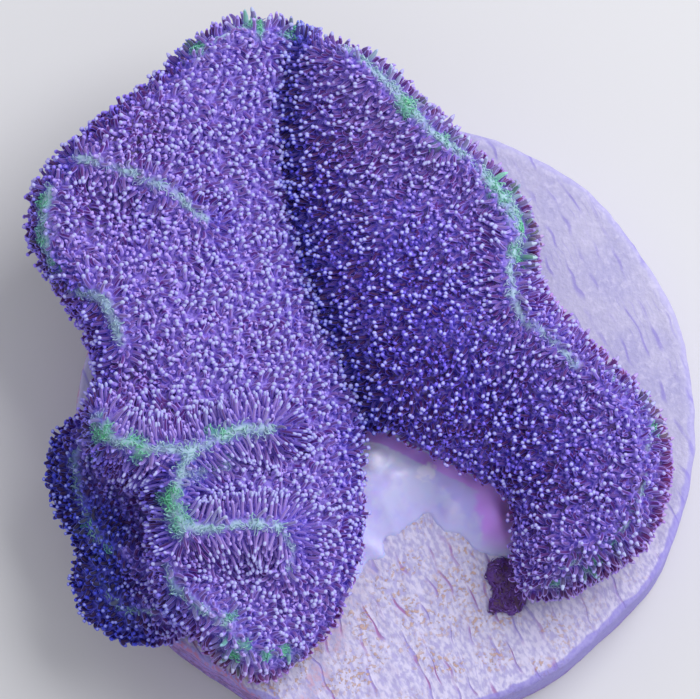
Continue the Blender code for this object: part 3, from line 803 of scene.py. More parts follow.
# How wide the rolled margins are, as (above, below), and the share of the thickness that they lie at
LOBE_SHOULDERS, LEDGE_SHOULDERS, FOOT_SHOULDERS = (1.7, 1.3), (1.3, 0.9), (0.5, 0.1)
BODY_MARGIN, FOOT_MARGIN = 0.45, 0.2
BODY_LATTICE = 0.30
BODY_SQUARE = 0.21
BODY_SMOOTHING = 2
FOOT_OUTLINE = (
    (5.2, -7.8), (5.9, -7.4), (7.0, -7.9), (7.4, -9.2), (7.0, -10.3), (6.4, -10.6), (5.8, -10.4),
    (5.4, -10.6), (5.1, -10.0), (5.4, -9.3), (5.0, -8.5),
)  # fmt: skip
FOOT_THICKNESS, FOOT_SWELL, FOOT_SWELL_SIZE = 0.42, 0.35, 0.6
FOOT_SINK = 0.10

# How the skin is divided and marked. A slope is the z of the skin's normal.
LOBE_EDGE = 0.35  # further inside the colony's outline than this, all skin belongs to a lobe
LEDGE_BELOW = 7.2  # outside that, skin lower than this belongs to the ledge
FOOT_BELOW = DISC_TOP + 1.3
BARE_SLOPE = -0.30  # skin that faces further down than this has no polyps
CLAW_SLOPE = 0.46
SPECKLES_PER_MM = 1.6
FAR = 9.0  # further than a ridge reaches
GREEN_REACH = 0.50
COMB_REACH = 1.9
LINE_HALF_WIDTH = 0.16  # of the fine bright line along a crest
SHADED_CORNER = (-11.0, -11.0)  # where the left lobe and the ledge part
SHADED_CORNER_RADIUS = 1.3
FURROW_SHIFT = 0.4  # how far the painted shade along the valley lies to the right of the valley line
SHELF_LEAN = (-0.55, -0.25)  # which way the right lobe's upper shelf is combed
SWIRL = 0.55
SWIRL_SIZE = 1.1
CREST_THREADS, GREEN_THREADS = 0.50, 0.46  # past this much crest or green, threads replace fingers
UPPER_LEFT_FROM, MIDDLE_LEFT_FROM, UPPER_RIGHT_FROM = 9.0, 1.0, 4.0  # along y
PATCH_NAMES = (
    "upper_left", "middle_left", "lower_left", "upper_right", "lower_right", "ledge", "margins", "crests",
    "foot",
)  # fmt: skip

TISSUE_VIOLET = seen(98, 68, 178)
# painted shade, partly a deeper tone, for the skin on the shaded flanks
TISSUE_DEEP_SHADED = seen(62, 46, 172)
TISSUE_LILAC = seen(142, 118, 220)
# painted shade, partly the ledge's deeper tone; also laid in the valley's crease and the hollows
TISSUE_LEDGE_SHADED = seen(22, 20, 128)
TISSUE_LEDGE_SHADED_NET = seen(64, 64, 196)
TISSUE_WINE = seen(64, 22, 76)
TISSUE_CREST = seen(134, 140, 204)
TISSUE_LINE = seen(172, 202, 220)
TISSUE_FOOT = seen(98, 56, 142)
FOOT_STAIN = seen(84, 50, 92)
GREEN = seen(88, 206, 128)
BARE_UNDERSIDE = seen(70, 50, 96)
TISSUE_SHEEN = seen(190, 180, 250)


def foot_top(plan):
    """The tissue that has crept from the right lobe onto the ceramic."""
    return DISC_TOP + FOOT_THICKNESS + FOOT_SWELL * ripple(plan, FOOT_SWELL_SIZE, 3.0)


def ridges_at(plan, ridges):
    rise = np.zeros(len(plan))
    for height, half_width, _, _, line in ridges:
        rise = np.maximum(rise, height * bell(nearest_on_line(plan, line)[0], half_width))
    return rise


def left_of_valley(plan):
    valley = np.array(VALLEY_LINE)[::-1]
    return plan[:, 0] < np.interp(plan[:, 1], valley[:, 1], valley[:, 0])


def lobe_top(plan):
    """The two lobes' upper surface, before the margin rolls over."""
    to_left = nearest_on_line(plan, VALLEY_LINE + NOTCH_LEFT_SIDE)[0]
    to_right = nearest_on_line(plan, VALLEY_LINE + NOTCH_RIGHT_SIDE)[0]
    rise = np.where(
        left_of_valley(plan),
        LEFT_LOBE_RISE * (1 - np.exp(-to_left / LEFT_LOBE_RUN)),
        RIGHT_LOBE_RISE * (1 - np.exp(-to_right / RIGHT_LOBE_RUN)),
    )
    head = VALLEY_HEAD_RISE * fade(plan[:, 1], VALLEY_HEAD_START, VALLEY_HEAD_END)
    height = VALLEY_FLOOR + head + rise + LOBE_SWELL * ripple(plan, LOBE_SWELL_SIZE)
    for bump, radius, centre in BUMPS:
        height += bump * spot(plan, centre, radius)
    return height + ridges_at(plan, RIDGES)


def lobe_underside(plan):
    """Low over the disc, arched over the glue pad, and lifted over the ledge and overhang."""
    glue = depth_inside(plan, smooth_loop(GLUE_OUTLINE, 1.2))
    arch = (ARCH_TOP - UNDERSIDE) * fade(glue, -ARCH_FADE, -0.5)
    over_ledge = fade(depth_inside(plan, smooth_loop(LEDGE_OUTLINE, BODY_LATTICE)), -0.3, 1.2)
    reach = np.linalg.norm(plan, axis=1)
    overhang = OVERHANG_LIFT * fade(reach, OVERHANG_START, OVERHANG_END)
    return UNDERSIDE + np.maximum(arch + overhang, LEDGE_CLEARANCE * over_ledge)


def ledge_top(plan):
    """The lower ledge's upper surface, which falls away past the edge of the disc."""
    reach = np.linalg.norm(plan, axis=1)
    drop = LEDGE_DROP * fade(reach, LEDGE_DROP_START, LEDGE_DROP_END)
    swell = LEDGE_SWELL * ripple(plan, LEDGE_SWELL_SIZE, 5.0)
    return LEDGE_TOP - drop + swell + ridges_at(plan, LEDGE_RIDGES)


def grown_together(forms, square):
    """The closed forms as one skin of even squares, as a mesh in mm."""
    mesh = bpy.data.meshes.new("growth")
    together = bmesh.new()
    for form in forms:
        form.to_mesh(mesh)
        form.free()
        together.from_mesh(mesh)
    together.to_mesh(mesh)
    together.free()
    growth = stand("growth", mesh)
    skin = growth.modifiers.new("skin", "REMESH")
    skin.mode = "VOXEL"
    skin.voxel_size = square
    smooth = growth.modifiers.new("smooth", "SMOOTH")
    smooth.iterations = BODY_SMOOTHING
    evaluated = growth.evaluated_get(bpy.context.evaluated_depsgraph_get())
    result = bpy.data.meshes.new_from_object(evaluated)
    bpy.data.objects.remove(growth)
    bpy.data.meshes.remove(mesh)
    return result


def ridge_marks(plan, on_ledge, speckle, patchy):
    """What the ridges do to the skin round them: its green, pale crest, combing, lean and distance."""
    green = np.zeros(len(plan))
    crest = np.zeros(len(plan))
    comb = np.zeros(len(plan))
    lean = SWIRL * np.column_stack([ripple(plan, SWIRL_SIZE, 21.0), ripple(plan, SWIRL_SIZE, 34.0)])
    to_crest = np.full(len(plan), FAR)
    for group, chosen in ((RIDGES, ~on_ledge), (LEDGE_RIDGES, on_ledge)):
        for height, _, width, share, line in group:
            away, foot = nearest_on_line(plan, line)
            away = np.where(chosen, away, FAR)
            to_crest = np.minimum(to_crest, away)
            green = np.maximum(green, 0.36 * share * bell(away, GREEN_REACH))
            shown = fade(3 * width + patchy, -0.2, 0.4)
            spread = width * np.clip(1 + 0.7 * speckle + 0.8 * patchy, 0.45, 1.6)
            crest = np.maximum(crest, shown * bell(away, spread))
            ribbed = min(0.85, max(0.15, 1.25 * height - 0.6))
            comb = np.maximum(comb, ribbed * fade(away, 0.1, 0.5) * fade(away, 2.0, 0.9))
            push = (plan - foot) / np.maximum(away, 1e-6)[:, None]
            weight = fade(away, 0.0, 0.40) * bell(away, COMB_REACH) * min(1.0, height)
            weight = weight * fade(width, 0.03, 0.12)
            lean += push * weight[:, None]
    for strength, radius, centre in GREEN_BLOOMS:
        green = np.maximum(green, strength * spot(plan, centre, radius))
    green = np.clip(green * np.clip(0.80 + 1.5 * speckle, 0.10, 1.2), 0, 0.9)
    return green, crest, comb, lean, to_crest


def store_by_face(mesh, name, values):
    """A number for each face, taken from the vertex of its first corner."""
    corners = np.empty(len(mesh.loops), dtype=np.int32)
    mesh.loops.foreach_get("vertex_index", corners)
    starts = np.empty(len(mesh.polygons), dtype=np.int32)
    mesh.polygons.foreach_get("loop_start", starts)
    layer = mesh.attributes.new(name, "FLOAT", "FACE")
    layer.data.foreach_set("value", values[corners[starts]])


def mark_tissue(mesh):
    """Writes on the skin what its colour and its tentacles depend on."""
    place = places(mesh)
    plan = place[:, :2]
    east, north, up = place.T
    facing = np.empty(place.size)
    mesh.vertex_normals.foreach_get("vector", facing)
    facing = facing.reshape(-1, 3)
    speckle = np.array([noise.noise(Vector(p) * SPECKLES_PER_MM) for p in place])
    patchy = ripple(plan, 2.4, 13.0)
    clustered = fade(ripple(plan, 1.3, 55.0), -0.25, 0.25)
    ragged = 0.45 * ripple(plan, 0.35, 71.0)

    # Which part of the colony each point is on
    left = left_of_valley(plan)
    inside = depth_inside(plan, smooth_loop(COLONY_OUTLINE, 0.5))
    inside_ledge = depth_inside(plan, smooth_loop(LEDGE_OUTLINE, 0.5))
    inside_foot = depth_inside(plan, smooth_loop(FOOT_OUTLINE, 0.3))
    living = facing[:, 2] > BARE_SLOPE
    on_ledge = (inside < LOBE_EDGE) & (up < LEDGE_BELOW) & (inside_ledge > -1.0)
    on_foot = (inside_foot > -0.3) & (up < FOOT_BELOW) & living
    by_ledge = left * fade(inside_ledge, -1.4, 0.2)
    near_lobe = fade(inside, -2.2, 0.0)
    to_valley = nearest_on_line(plan, VALLEY_LINE)[0]
    to_furrow = nearest_on_line(plan - (FURROW_SHIFT, 0.0), VALLEY_LINE)[0]
    to_rim = nearest_on_line(plan, OUTER_RIGHT_RIM)[0]
    notch_sides = (NOTCH_LEFT_SIDE, NOTCH_RIGHT_SIDE)
    to_notch = np.minimum(*(nearest_on_line(plan, side)[0] for side in notch_sides))
    notch = fade(to_notch, 2.2, 0.6)

    # Green and pale crests
    green, crest, comb, lean, to_crest = ridge_marks(plan, on_ledge, speckle, patchy)
    threaded = (crest + ragged > CREST_THREADS) | (green > GREEN_THREADS)
    overhang = fade(facing[:, 2], 0.42, 0.10)
    green *= np.where(threaded, 1.0, 0.35) * (1 - 0.8 * overhang)
    crest *= 1 - 0.8 * overhang
    threaded &= overhang < 0.6
    store(mesh, "green", green)
    store(mesh, "crest", crest)
    line = bell(to_crest, LINE_HALF_WIDTH) * fade(speckle, -0.45, 0.1) * fade(crest, 0.1, 0.7)
    store(mesh, "line", line)

    # Margins painted pink as if lit through from the pale disc behind, and painted shade: deep blue flanks
    # and dark hollows
    margin = fade(facing[:, 2], 0.55, 0.05) * ~on_ledge
    # painted light: margins that hang over the pale disc are painted pink and red, as if lit through from
    # behind; little by the ledge
    backlight = fade(north, 20.0, 10.0) * (1 - 0.5 * fade(north, -5.0, -8.0))
    backlight = np.where(left, 0.2 + 0.8 * fade(north, -6.0, -9.0), backlight)
    store(mesh, "rim", margin * backlight * (1 - 0.8 * by_ledge))
    # painted shade, partly a deeper tone: the right lobe darker away from its outer rim and less on its
    # upper shelf, the left lobe's flanks darker by which way they face, and the foot fully
    north_shelf = fade(north, 5.0, 12.0) * fade(to_valley, 2.0, 4.5)
    deep = (0.25 + 0.75 * fade(to_rim, 1.0, 6.0)) * (1 - 0.60 * north_shelf)
    shaded_flanks = np.maximum(0.9 * fade(facing[:, 0], 0.0, -0.7), 0.55 * fade(facing[:, 0], 0.25, 0.75))
    deep = np.where(left, shaded_flanks * (1 - 0.3 * fade(north, -7.5, -10.0)), deep)
    store(mesh, "deep", np.where(on_foot, 1.0, deep))
    # painted shade: dark in the valley's crease, on low skin beside the ledge and in the hollow where the
    # left lobe and the ledge part; the ledge is painted in shade too, partly a deeper tone, and lighter near
    # the lobe
    furrow_shade = bell(to_furrow, 1.0 + 0.6 * fade(north, 5.0, 1.0)) * np.where(left, 0.30, 0.75)
    shaded = np.maximum(0.55 * by_ledge * fade(up, 8.8, 6.8), furrow_shade)
    shaded = np.maximum(shaded, 0.75 * spot(plan, SHADED_CORNER, SHADED_CORNER_RADIUS))
    store(mesh, "ledge", np.where(on_ledge, 1.0 - 0.8 * near_lobe, shaded))
    store(mesh, "foot", on_foot * 1.0)
    store(mesh, "living", living * 1.0)

    # How the tentacles stand, and how many have white tips or wine-red cores
    steep = fade(facing[:, 2], 0.55, -0.05)
    reach = (1 + 0.55 * comb) * (1 - 0.34 * steep) * (1 - 0.30 * notch)
    reach *= np.where(on_foot, 0.70, np.where(on_ledge, 0.80, 1.0))
    store(mesh, "reach", reach * (1 + 0.25 * speckle))
    store(mesh, "unrest", 1.35 - 0.65 * comb)
    lean += facing[:, :2] * 0.9
    lean += np.outer(~left * fade(north, 0.0, 6.0) * fade(to_crest, 0.8, 2.0), SHELF_LEAN)
    store(mesh, "lean", np.column_stack([lean * (1 - 0.5 * notch)[:, None], np.zeros(len(plan))]))
    crowded = fade(east + 1.5 * patchy, -14.0, -8.0) * fade(to_crest, 0.5, 1.6)
    pale = np.where(left, 0.10 + 0.28 * crowded + 0.18 * clustered + 0.18 * comb,
                    0.24 + 0.14 * clustered - 0.08 * fade(north, 1.0, -4.0))  # fmt: skip
    store(mesh, "pale", np.where(on_ledge, 0.24, pale * (1 - 0.8 * margin)))
    wine = np.where(left, 0.15 + 0.30 * fade(east, -8.0, -13.0) - 0.15 * comb,
                    0.80 + 0.25 * fade(north, 1.0, -4.0))  # fmt: skip
    wine *= fade(speckle, -0.3, 0.2)
    for radius, centre in WINE_SPOTS:
        wine += 0.8 * spot(plan, centre, radius)
    wine = np.maximum(wine, margin) + np.where(on_ledge, 0.9 - 0.5 * near_lobe, 0.0)
    store(mesh, "wine", np.clip(wine, 0, 1))

    # Which patch of tentacles grows on each face; the first that fits is taken
    claws = ~on_ledge & (facing[:, 2] < CLAW_SLOPE + 0.12 * speckle + 0.16 * left) & (inside < 1.3)
    claws &= (notch < 0.4) | (north < -8.5)
    claws &= ~left | ((north < -8.0) & (by_ledge < 0.3)) | (north > 17.0)
    grounds = {
        "foot": on_foot, "crests": threaded, "ledge": on_ledge, "margins": claws,
        "upper_left": left & (north > UPPER_LEFT_FROM), "middle_left": left & (north > MIDDLE_LEFT_FROM),
        "lower_left": left, "upper_right": north > UPPER_RIGHT_FROM,
    }  # fmt: skip
    numbers = [PATCH_NAMES.index(name) for name in grounds]
    patch = np.select(list(grounds.values()), numbers, PATCH_NAMES.index("lower_right"))
    store_by_face(mesh, "patch", patch.astype(float))
    mesh.vertices.foreach_set("co", (place * MM).ravel())


def tissue_finish():
    finish = Finish("coral tissue", Roughness=0.5, Sheen_Weight=0.25, Sheen_Roughness=0.4,
                    Sheen_Tint=TISSUE_SHEEN)  # fmt: skip
    ledge = finish.attribute("ledge")
    net = finish.step(finish.cell_walls(3.4), 0.04, 0.22, 0.85, 0.0)
    # painted shade on the flanks, partly a deeper tone
    ground = finish.mix(finish.step(finish.attribute("deep"), 0.0, 0.45), TISSUE_VIOLET, TISSUE_DEEP_SHADED)
    colour = finish.mix(net, ground, TISSUE_LILAC)
    wine = finish.times(finish.attribute("wine"), finish.patches(3.2, 3.0, 0.36, 0.56))
    colour = finish.paint(wine, 0.85, colour, TISSUE_WINE)
    crest = finish.times(finish.attribute("crest"), finish.patches(8.0, 4.0, 0.40, 0.58))
    colour = finish.paint(crest, 0.75, colour, TISSUE_CREST)
    colour = finish.paint(finish.attribute("green"), 0.6, colour, GREEN)
    line = finish.times(finish.attribute("line"), finish.sum("SUBTRACT", 1.0, ledge))
    colour = finish.paint(line, 0.9, colour, TISSUE_LINE)
    # painted shade: the ledge's dark blue, laid also in the valley's crease and the hollows
    blue = finish.mix(net, TISSUE_LEDGE_SHADED, TISSUE_LEDGE_SHADED_NET)
    colour = finish.paint(ledge, 0.90, colour, blue)
    foot = finish.mix(finish.patches(2.8, 4.0, 0.44, 0.56), TISSUE_FOOT, FOOT_STAIN)
    colour = finish.mix(finish.attribute("foot"), colour, foot)
    finish.wear(finish.mix(finish.attribute("living"), BARE_UNDERSIDE, colour))
    finish.bump(finish.noise(3.0, 3.0), 0.06, 0.5)
    return finish


def make_colony_body():
    parts = (
        (COLONY_OUTLINE, lobe_top, lobe_underside, LOBE_SHOULDERS, BODY_MARGIN),
        (LEDGE_OUTLINE, ledge_top, level(UNDERSIDE), LEDGE_SHOULDERS, BODY_MARGIN),
        (FOOT_OUTLINE, foot_top, level(DISC_TOP - FOOT_SINK), FOOT_SHOULDERS, FOOT_MARGIN),
    )
    mesh = grown_together([cushion(*part, BODY_LATTICE) for part in parts], BODY_SQUARE)
    mark_tissue(mesh)
    mesh.name = "coral_body"
    mesh.materials.append(tissue_finish().material)
    mesh.shade_smooth()
    body = stand("coral_body", mesh)
    stands_for(body, "coral_colony")
    return body


coral_body = make_colony_body()

# ---------------------------------------------------------------------------
# Tentacles. Every polyp holds out short fingers of clear tissue with a dark
# core and a round white tip. They stand square to the skin, lean away from
# the crests, and hang outwards round the margin.
# ---------------------------------------------------------------------------

TENTACLE_STRIDE = 0.05  # the share of its length at each bend of its centre line
FINGER_SPACING = 0.228
# Profiles, as ((share of the length, share of the radius), ...)
KNOBBED = ((0.0, 1.20), (0.34, 1.02), (0.62, 0.84), (0.74, 0.86), (0.84, 1.16), (0.93, 0.90))
PLAIN = ((0.0, 1.25), (0.28, 1.06), (0.56, 1.0), (0.80, 0.86), (0.94, 0.50))
POINTED = ((0.0, 1.0), (0.26, 1.08), (0.54, 0.98), (0.80, 0.70), (0.95, 0.34))
THREADLIKE = ((0.0, 1.3), (0.2, 1.0), (0.4, 0.95), (0.6, 0.9), (0.8, 0.9), (0.96, 0.8))
# Each kind: (sides, how far it wanders, how well it is combed, shapes), with each shape as
# (profile, length, radius, curl at the tip in degrees, how late it curls, sway in degrees)
TENTACLE_KINDS = {
    "finger": (6, 0.50, 1.0, (
        (PLAIN, 0.54, 0.112, 95, 1.2, 30), (PLAIN, 0.54, 0.106, -100, 1.4, -25),
        (PLAIN, 0.58, 0.112, 70, 0.9, 40), (PLAIN, 0.52, 0.116, -75, 1.0, -45),
        (KNOBBED, 0.72, 0.104, 50, 1.0, -14), (KNOBBED, 0.72, 0.104, 25, 1.5, 12),
        (KNOBBED, 0.70, 0.104, 45, 1.0, 16))),
    "claw": (6, 0.65, 1.0, (
        (POINTED, 0.80, 0.140, 15, 1.0, 14), (POINTED, 0.80, 0.140, -45, 1.5, 18),
        (POINTED, 0.80, 0.132, 60, 2.0, -20), (POINTED, 0.80, 0.148, -20, 1.0, -16))),
    "bud": (6, 0.60, 0.6, (
        (PLAIN, 0.56, 0.136, 50, 1.2, 20), (PLAIN, 0.56, 0.126, -70, 1.2, -20),
        (PLAIN, 0.56, 0.136, 85, 1.0, 25), (KNOBBED, 0.60, 0.090, 20, 1.0, 10))),
    "thread": (4, 0.95, 0.35, (
        (THREADLIKE, 0.44, 0.037, 60, 1.0, 20), (THREADLIKE, 0.44, 0.037, 120, 1.0, -30),
        (THREADLIKE, 0.44, 0.037, 180, 1.2, 25), (THREADLIKE, 0.44, 0.037, 150, 1.5, -40))),
}  # fmt: skip
TENTACLE_SINK = 0.06  # how deep a tentacle is rooted in the skin, in mm
KNOBS_BY_PALE = 0.6  # how much more often a tentacle is a knobbed one where tips are pale
PALE_LEVEL = 0.35  # how pale the skin is where knobbed ones are neither more nor less common
DENSEST = 8.0e7  # tentacles to the square metre, before the spacing thins them
SHORTEST, LENGTH_RANGE = 0.76, 0.42  # as shares of a shape's own length
SLIMMEST, GIRTH_RANGE = 0.85, 0.25
COMBED_GIRTH, UNREST_GIRTH = 0.22, 0.58  # tentacles in combed skin are slimmer
LEAN = 0.55
TURN = 0.45
PLACE_SEED, WANDER_SEED, TURN_SEED, SHAPE_SEED = 11, 3, 5, 17
# What grows on each patch of skin: (kind of tentacle, spacing in mm, thickness)
PATCHES = {
    "upper_left": ("finger", FINGER_SPACING, 1.0), "middle_left": ("finger", FINGER_SPACING, 1.0),
    "lower_left": ("finger", FINGER_SPACING, 1.0), "upper_right": ("finger", FINGER_SPACING, 0.92),
    "lower_right": ("finger", FINGER_SPACING, 0.92), "ledge": ("bud", 0.25, 1.0),
    "margins": ("claw", 0.43, 1.0), "crests": ("thread", 0.104, 1.0), "foot": ("thread", 0.135, 1.3),
}  # fmt: skip


def stock_tentacle(name, sides, shape):
    """A tentacle that stands on the origin along z and curls towards x, as an object in metres."""
    profile, length, radius, curl, lateness, sway = shape
    form = bmesh.new()
    along = form.verts.layers.float.new("along")
    centre = Vector((0, 0, -TENTACLE_SINK))
    reached = 0.0
    rings = []
    for share, width in (*profile, (1.0, 0.0)):
        while reached < share:
            stride = min(TENTACLE_STRIDE, share - reached)
            reached += stride
            pitch = math.radians(curl) * reached**lateness
            yaw = math.radians(sway) * math.sin(2 * math.pi * reached)
            centre += stride * length * Vector((math.sin(pitch), math.sin(yaw), math.cos(pitch)))
        pitch = math.radians(curl) * share**lateness
        if width == 0:
            tip = form.verts.new(centre)
            tip[along] = share
            continue
        ring = []
        for k in range(sides):
            angle = 2 * math.pi * k / sides
            out = width * radius * math.cos(angle)
            aside = width * radius * math.sin(angle)
            vert = form.verts.new(centre + Vector((out * math.cos(pitch), aside, -out * math.sin(pitch))))
            vert[along] = share
            ring.append(vert)
        rings.append(ring)
    for low, high in zip(rings[:-1], rings[1:]):
        for k in range(sides):
            after = (k + 1) % sides
            form.faces.new((low[k], low[after], high[after], high[k]))
    for k in range(sides):
        form.faces.new((rings[-1][k], rings[-1][(k + 1) % sides], tip))
    for vert in form.verts:
        vert.co *= MM
    mesh = bpy.data.meshes.new(name)
    form.to_mesh(mesh)
    form.free()
    mesh.shade_smooth()
    return bpy.data.objects.new(name, mesh)


def stock_collection(kind):
    sides, _, _, shapes = TENTACLE_KINDS[kind]
    stock = bpy.data.collections.new(kind)
    for index, shape in enumerate(shapes):
        stock.objects.link(stock_tentacle(f"{kind}_{index}", sides, shape))
    return stock


class Tree(Nodes):
    """A Geometry Nodes tree, with short names for adding and joining nodes."""

    def __init__(self, name, sizes, collection):
        self.tree = bpy.data.node_groups.new(name, "GeometryNodeTree")
        self.tree.is_modifier = True
        super().__init__(self.tree)
        face = self.tree.interface
        face.new_socket("Geometry", in_out="INPUT", socket_type="NodeSocketGeometry")
        for size, value in sizes.items():
            kind = "NodeSocketInt" if isinstance(value, int) else "NodeSocketFloat"
            face.new_socket(size, in_out="INPUT", socket_type=kind).default_value = value
        face.new_socket(collection, in_out="INPUT", socket_type="NodeSocketCollection")
        face.new_socket("Geometry", in_out="OUTPUT", socket_type="NodeSocketGeometry")
        self.given = self.nodes.new("NodeGroupInput").outputs
        self.result = self.nodes.new("NodeGroupOutput").inputs[0]

    def add(self, kind, settings=None, **sockets):
        node = self.nodes.new(kind)
        for name, value in (settings or {}).items():
            setattr(node, name, value)
        for name, value in sockets.items():
            wanted = name.replace("_", " ")
            self.put(next(s for s in node.inputs if s.name == wanted and s.enabled), value)
        return node

    def out(self, node, name=None):
        return next(s for s in node.outputs if s.enabled and name in (None, s.name))

    def join(self, a, b):
        """Two vectors added together."""
        node = self.nodes.new("ShaderNodeVectorMath")
        self.put(node.inputs[0], a)
        self.put(node.inputs[1], b)
        return node.outputs["Vector"]

    def scale(self, vector, factor):
        node = self.nodes.new("ShaderNodeVectorMath")
        node.operation = "SCALE"
        self.put(node.inputs[0], vector)
        self.put(node.inputs["Scale"], factor)
        return node.outputs["Vector"]

    def named(self, name, kind="FLOAT"):
        node = self.add("GeometryNodeInputNamedAttribute", {"data_type": kind}, Name=name)
        return self.out(node, "Attribute")

    def chance(self, low, high, seed, kind="FLOAT"):
        node = self.add("FunctionNodeRandomValue", {"data_type": kind}, Min=low, Max=high, Seed=seed)
        return self.out(node)

    def chance_vector(self, reach, seed):
        return self.chance((-reach,) * 3, (reach,) * 3, seed, "FLOAT_VECTOR")

    def write(self, geometry, domain, name, value):
        """The node's geometry, with a value stored on it under that name."""
        return self.add("GeometryNodeStoreNamedAttribute", {"data_type": "FLOAT", "domain": domain},
                        Geometry=self.out(geometry), Name=name, Value=value)  # fmt: skip


def tentacle_tree(material):
    sizes = {"Patch": 0, "Spacing": 0.4 * MM, "Kinds": 1, "Wander": 0.3, "Comb": 1.0, "Thickness": 1.0,
             "Seed": 1}  # fmt: skip
    tree = Tree("tentacle skin", sizes, "Shapes")
    given = tree.given
    scatter = tree.add(
        "GeometryNodeDistributePointsOnFaces", {"distribute_method": "POISSON"},
        Mesh=given["Geometry"], Selection=tree.sum("GREATER_THAN", tree.named("living"), 0.5),
        Distance_Min=given["Spacing"], Density_Max=DENSEST, Seed=given["Seed"],
    )  # fmt: skip
    elsewhere = tree.sum("GREATER_THAN", tree.away(tree.named("patch"), given["Patch"]), 0.5)
    kept = tree.add("GeometryNodeDeleteGeometry", {"domain": "POINT"},
                    Geometry=scatter.outputs["Points"], Selection=elsewhere)  # fmt: skip

    wander = tree.times(given["Wander"], tree.named("unrest"))
    wander = tree.scale(tree.chance_vector(1.0, WANDER_SEED), wander)
    lean = tree.join(tree.scale(tree.named("lean", "FLOAT_VECTOR"), given["Comb"]), wander)
    aim = tree.join(scatter.outputs["Normal"], tree.scale(lean, LEAN))
    stand_up = tree.add("FunctionNodeAlignRotationToVector", {"axis": "Z"}, Vector=aim)
    turn = tree.join(lean, tree.chance_vector(TURN, TURN_SEED))
    turned = tree.add("FunctionNodeAlignRotationToVector", {"axis": "X", "pivot_axis": "Z"},
                      Rotation=stand_up.outputs[0], Vector=turn)  # fmt: skip

    chosen = tree.chance(0.0, 1.0, SHAPE_SEED)
    tall = tree.plus(tree.times(chosen, LENGTH_RANGE), SHORTEST)
    tall = tree.times(tall, tree.named("reach"))
    thick = tree.plus(tree.times(chosen, GIRTH_RANGE), SLIMMEST)
    thick = tree.times(thick, given["Thickness"])
    slim = tree.plus(tree.times(tree.named("unrest"), UNREST_GIRTH), COMBED_GIRTH)
    thick = tree.times(thick, slim)
    size = tree.add("ShaderNodeCombineXYZ", X=thick, Y=thick, Z=tall)
    shapes = tree.add("GeometryNodeCollectionInfo", Collection=given["Shapes"],
                      Separate_Children=True, Reset_Children=True)  # fmt: skip
    pick = tree.plus(chosen, tree.times(tree.named("pale"), KNOBS_BY_PALE))
    pick = tree.sum("MAXIMUM", tree.sum("SUBTRACT", pick, PALE_LEVEL * KNOBS_BY_PALE), 0.0)
    pick = tree.times(tree.sum("MINIMUM", pick, 0.999), given["Kinds"])
    grown = tree.add(
        "GeometryNodeInstanceOnPoints", Points=kept.outputs["Geometry"], Instance=tree.out(shapes),
        Pick_Instance=True, Instance_Index=tree.sum("FLOOR", pick), Rotation=turned.outputs[0],
        Scale=size.outputs[0],
    )  # fmt: skip
    lucky = tree.write(grown, "INSTANCE", "luck", tree.chance(0.0, 1.0, SHAPE_SEED))
    real = tree.add("GeometryNodeRealizeInstances", Geometry=tree.out(lucky))
    facing = tree.add("ShaderNodeSeparateXYZ", Vector=tree.out(tree.add("GeometryNodeInputNormal")))
    faced = tree.write(real, "POINT", "upness", facing.outputs["Z"])
    painted = tree.add("GeometryNodeSetMaterial", Geometry=tree.out(faced), Material=material)
    tree.put(tree.result, tree.out(painted))
    return tree.tree


GREEN_ON_FINGERS = 0.28  # the share of a crest's colour that the fingers beside it take
PLAIN_CORE = 0.22  # how far a core without wine red is towards the colour of its sides
COMBED_CORE = 0.46  # the same in combed skin


def tissue(*colours):
    """Tissue colours, as (core along the upper side, sides, foot, tip); the pale sides are painted light."""
    return tuple(seen(*colour) for colour in colours)


LIGHT_TISSUE = tissue((92, 38, 128), (186, 162, 246), (140, 108, 216), (178, 184, 232))
# painted shade, partly a deeper tone: the colours for the flanks turned from the light
DEEP_SHADED_TISSUE = tissue((70, 26, 92), (134, 114, 250), (46, 36, 172), (180, 180, 238))
# painted shade, partly the ledge's deeper tone
LEDGE_SHADED_TISSUE = tissue((40, 14, 72), (64, 72, 212), (18, 22, 126), (146, 152, 236))
# painted light, partly the margin's own colour: tentacles lit through from the pale disc behind
RIM_PAINTED_BACKLIGHT_TISSUE = tissue((104, 34, 96), (166, 122, 214), (78, 44, 138), (190, 142, 216))
GREEN_TISSUE = tissue((84, 186, 132), (106, 214, 150), (84, 158, 150), (160, 232, 180))
CREST_TISSUE = tissue((158, 178, 210), (188, 208, 230), (142, 156, 210), (210, 228, 242))
FOOT_TISSUE = tissue((82, 36, 96), (122, 78, 192), (64, 38, 126), (162, 122, 200))
TENTACLE_SHEEN = seen(200, 196, 255)


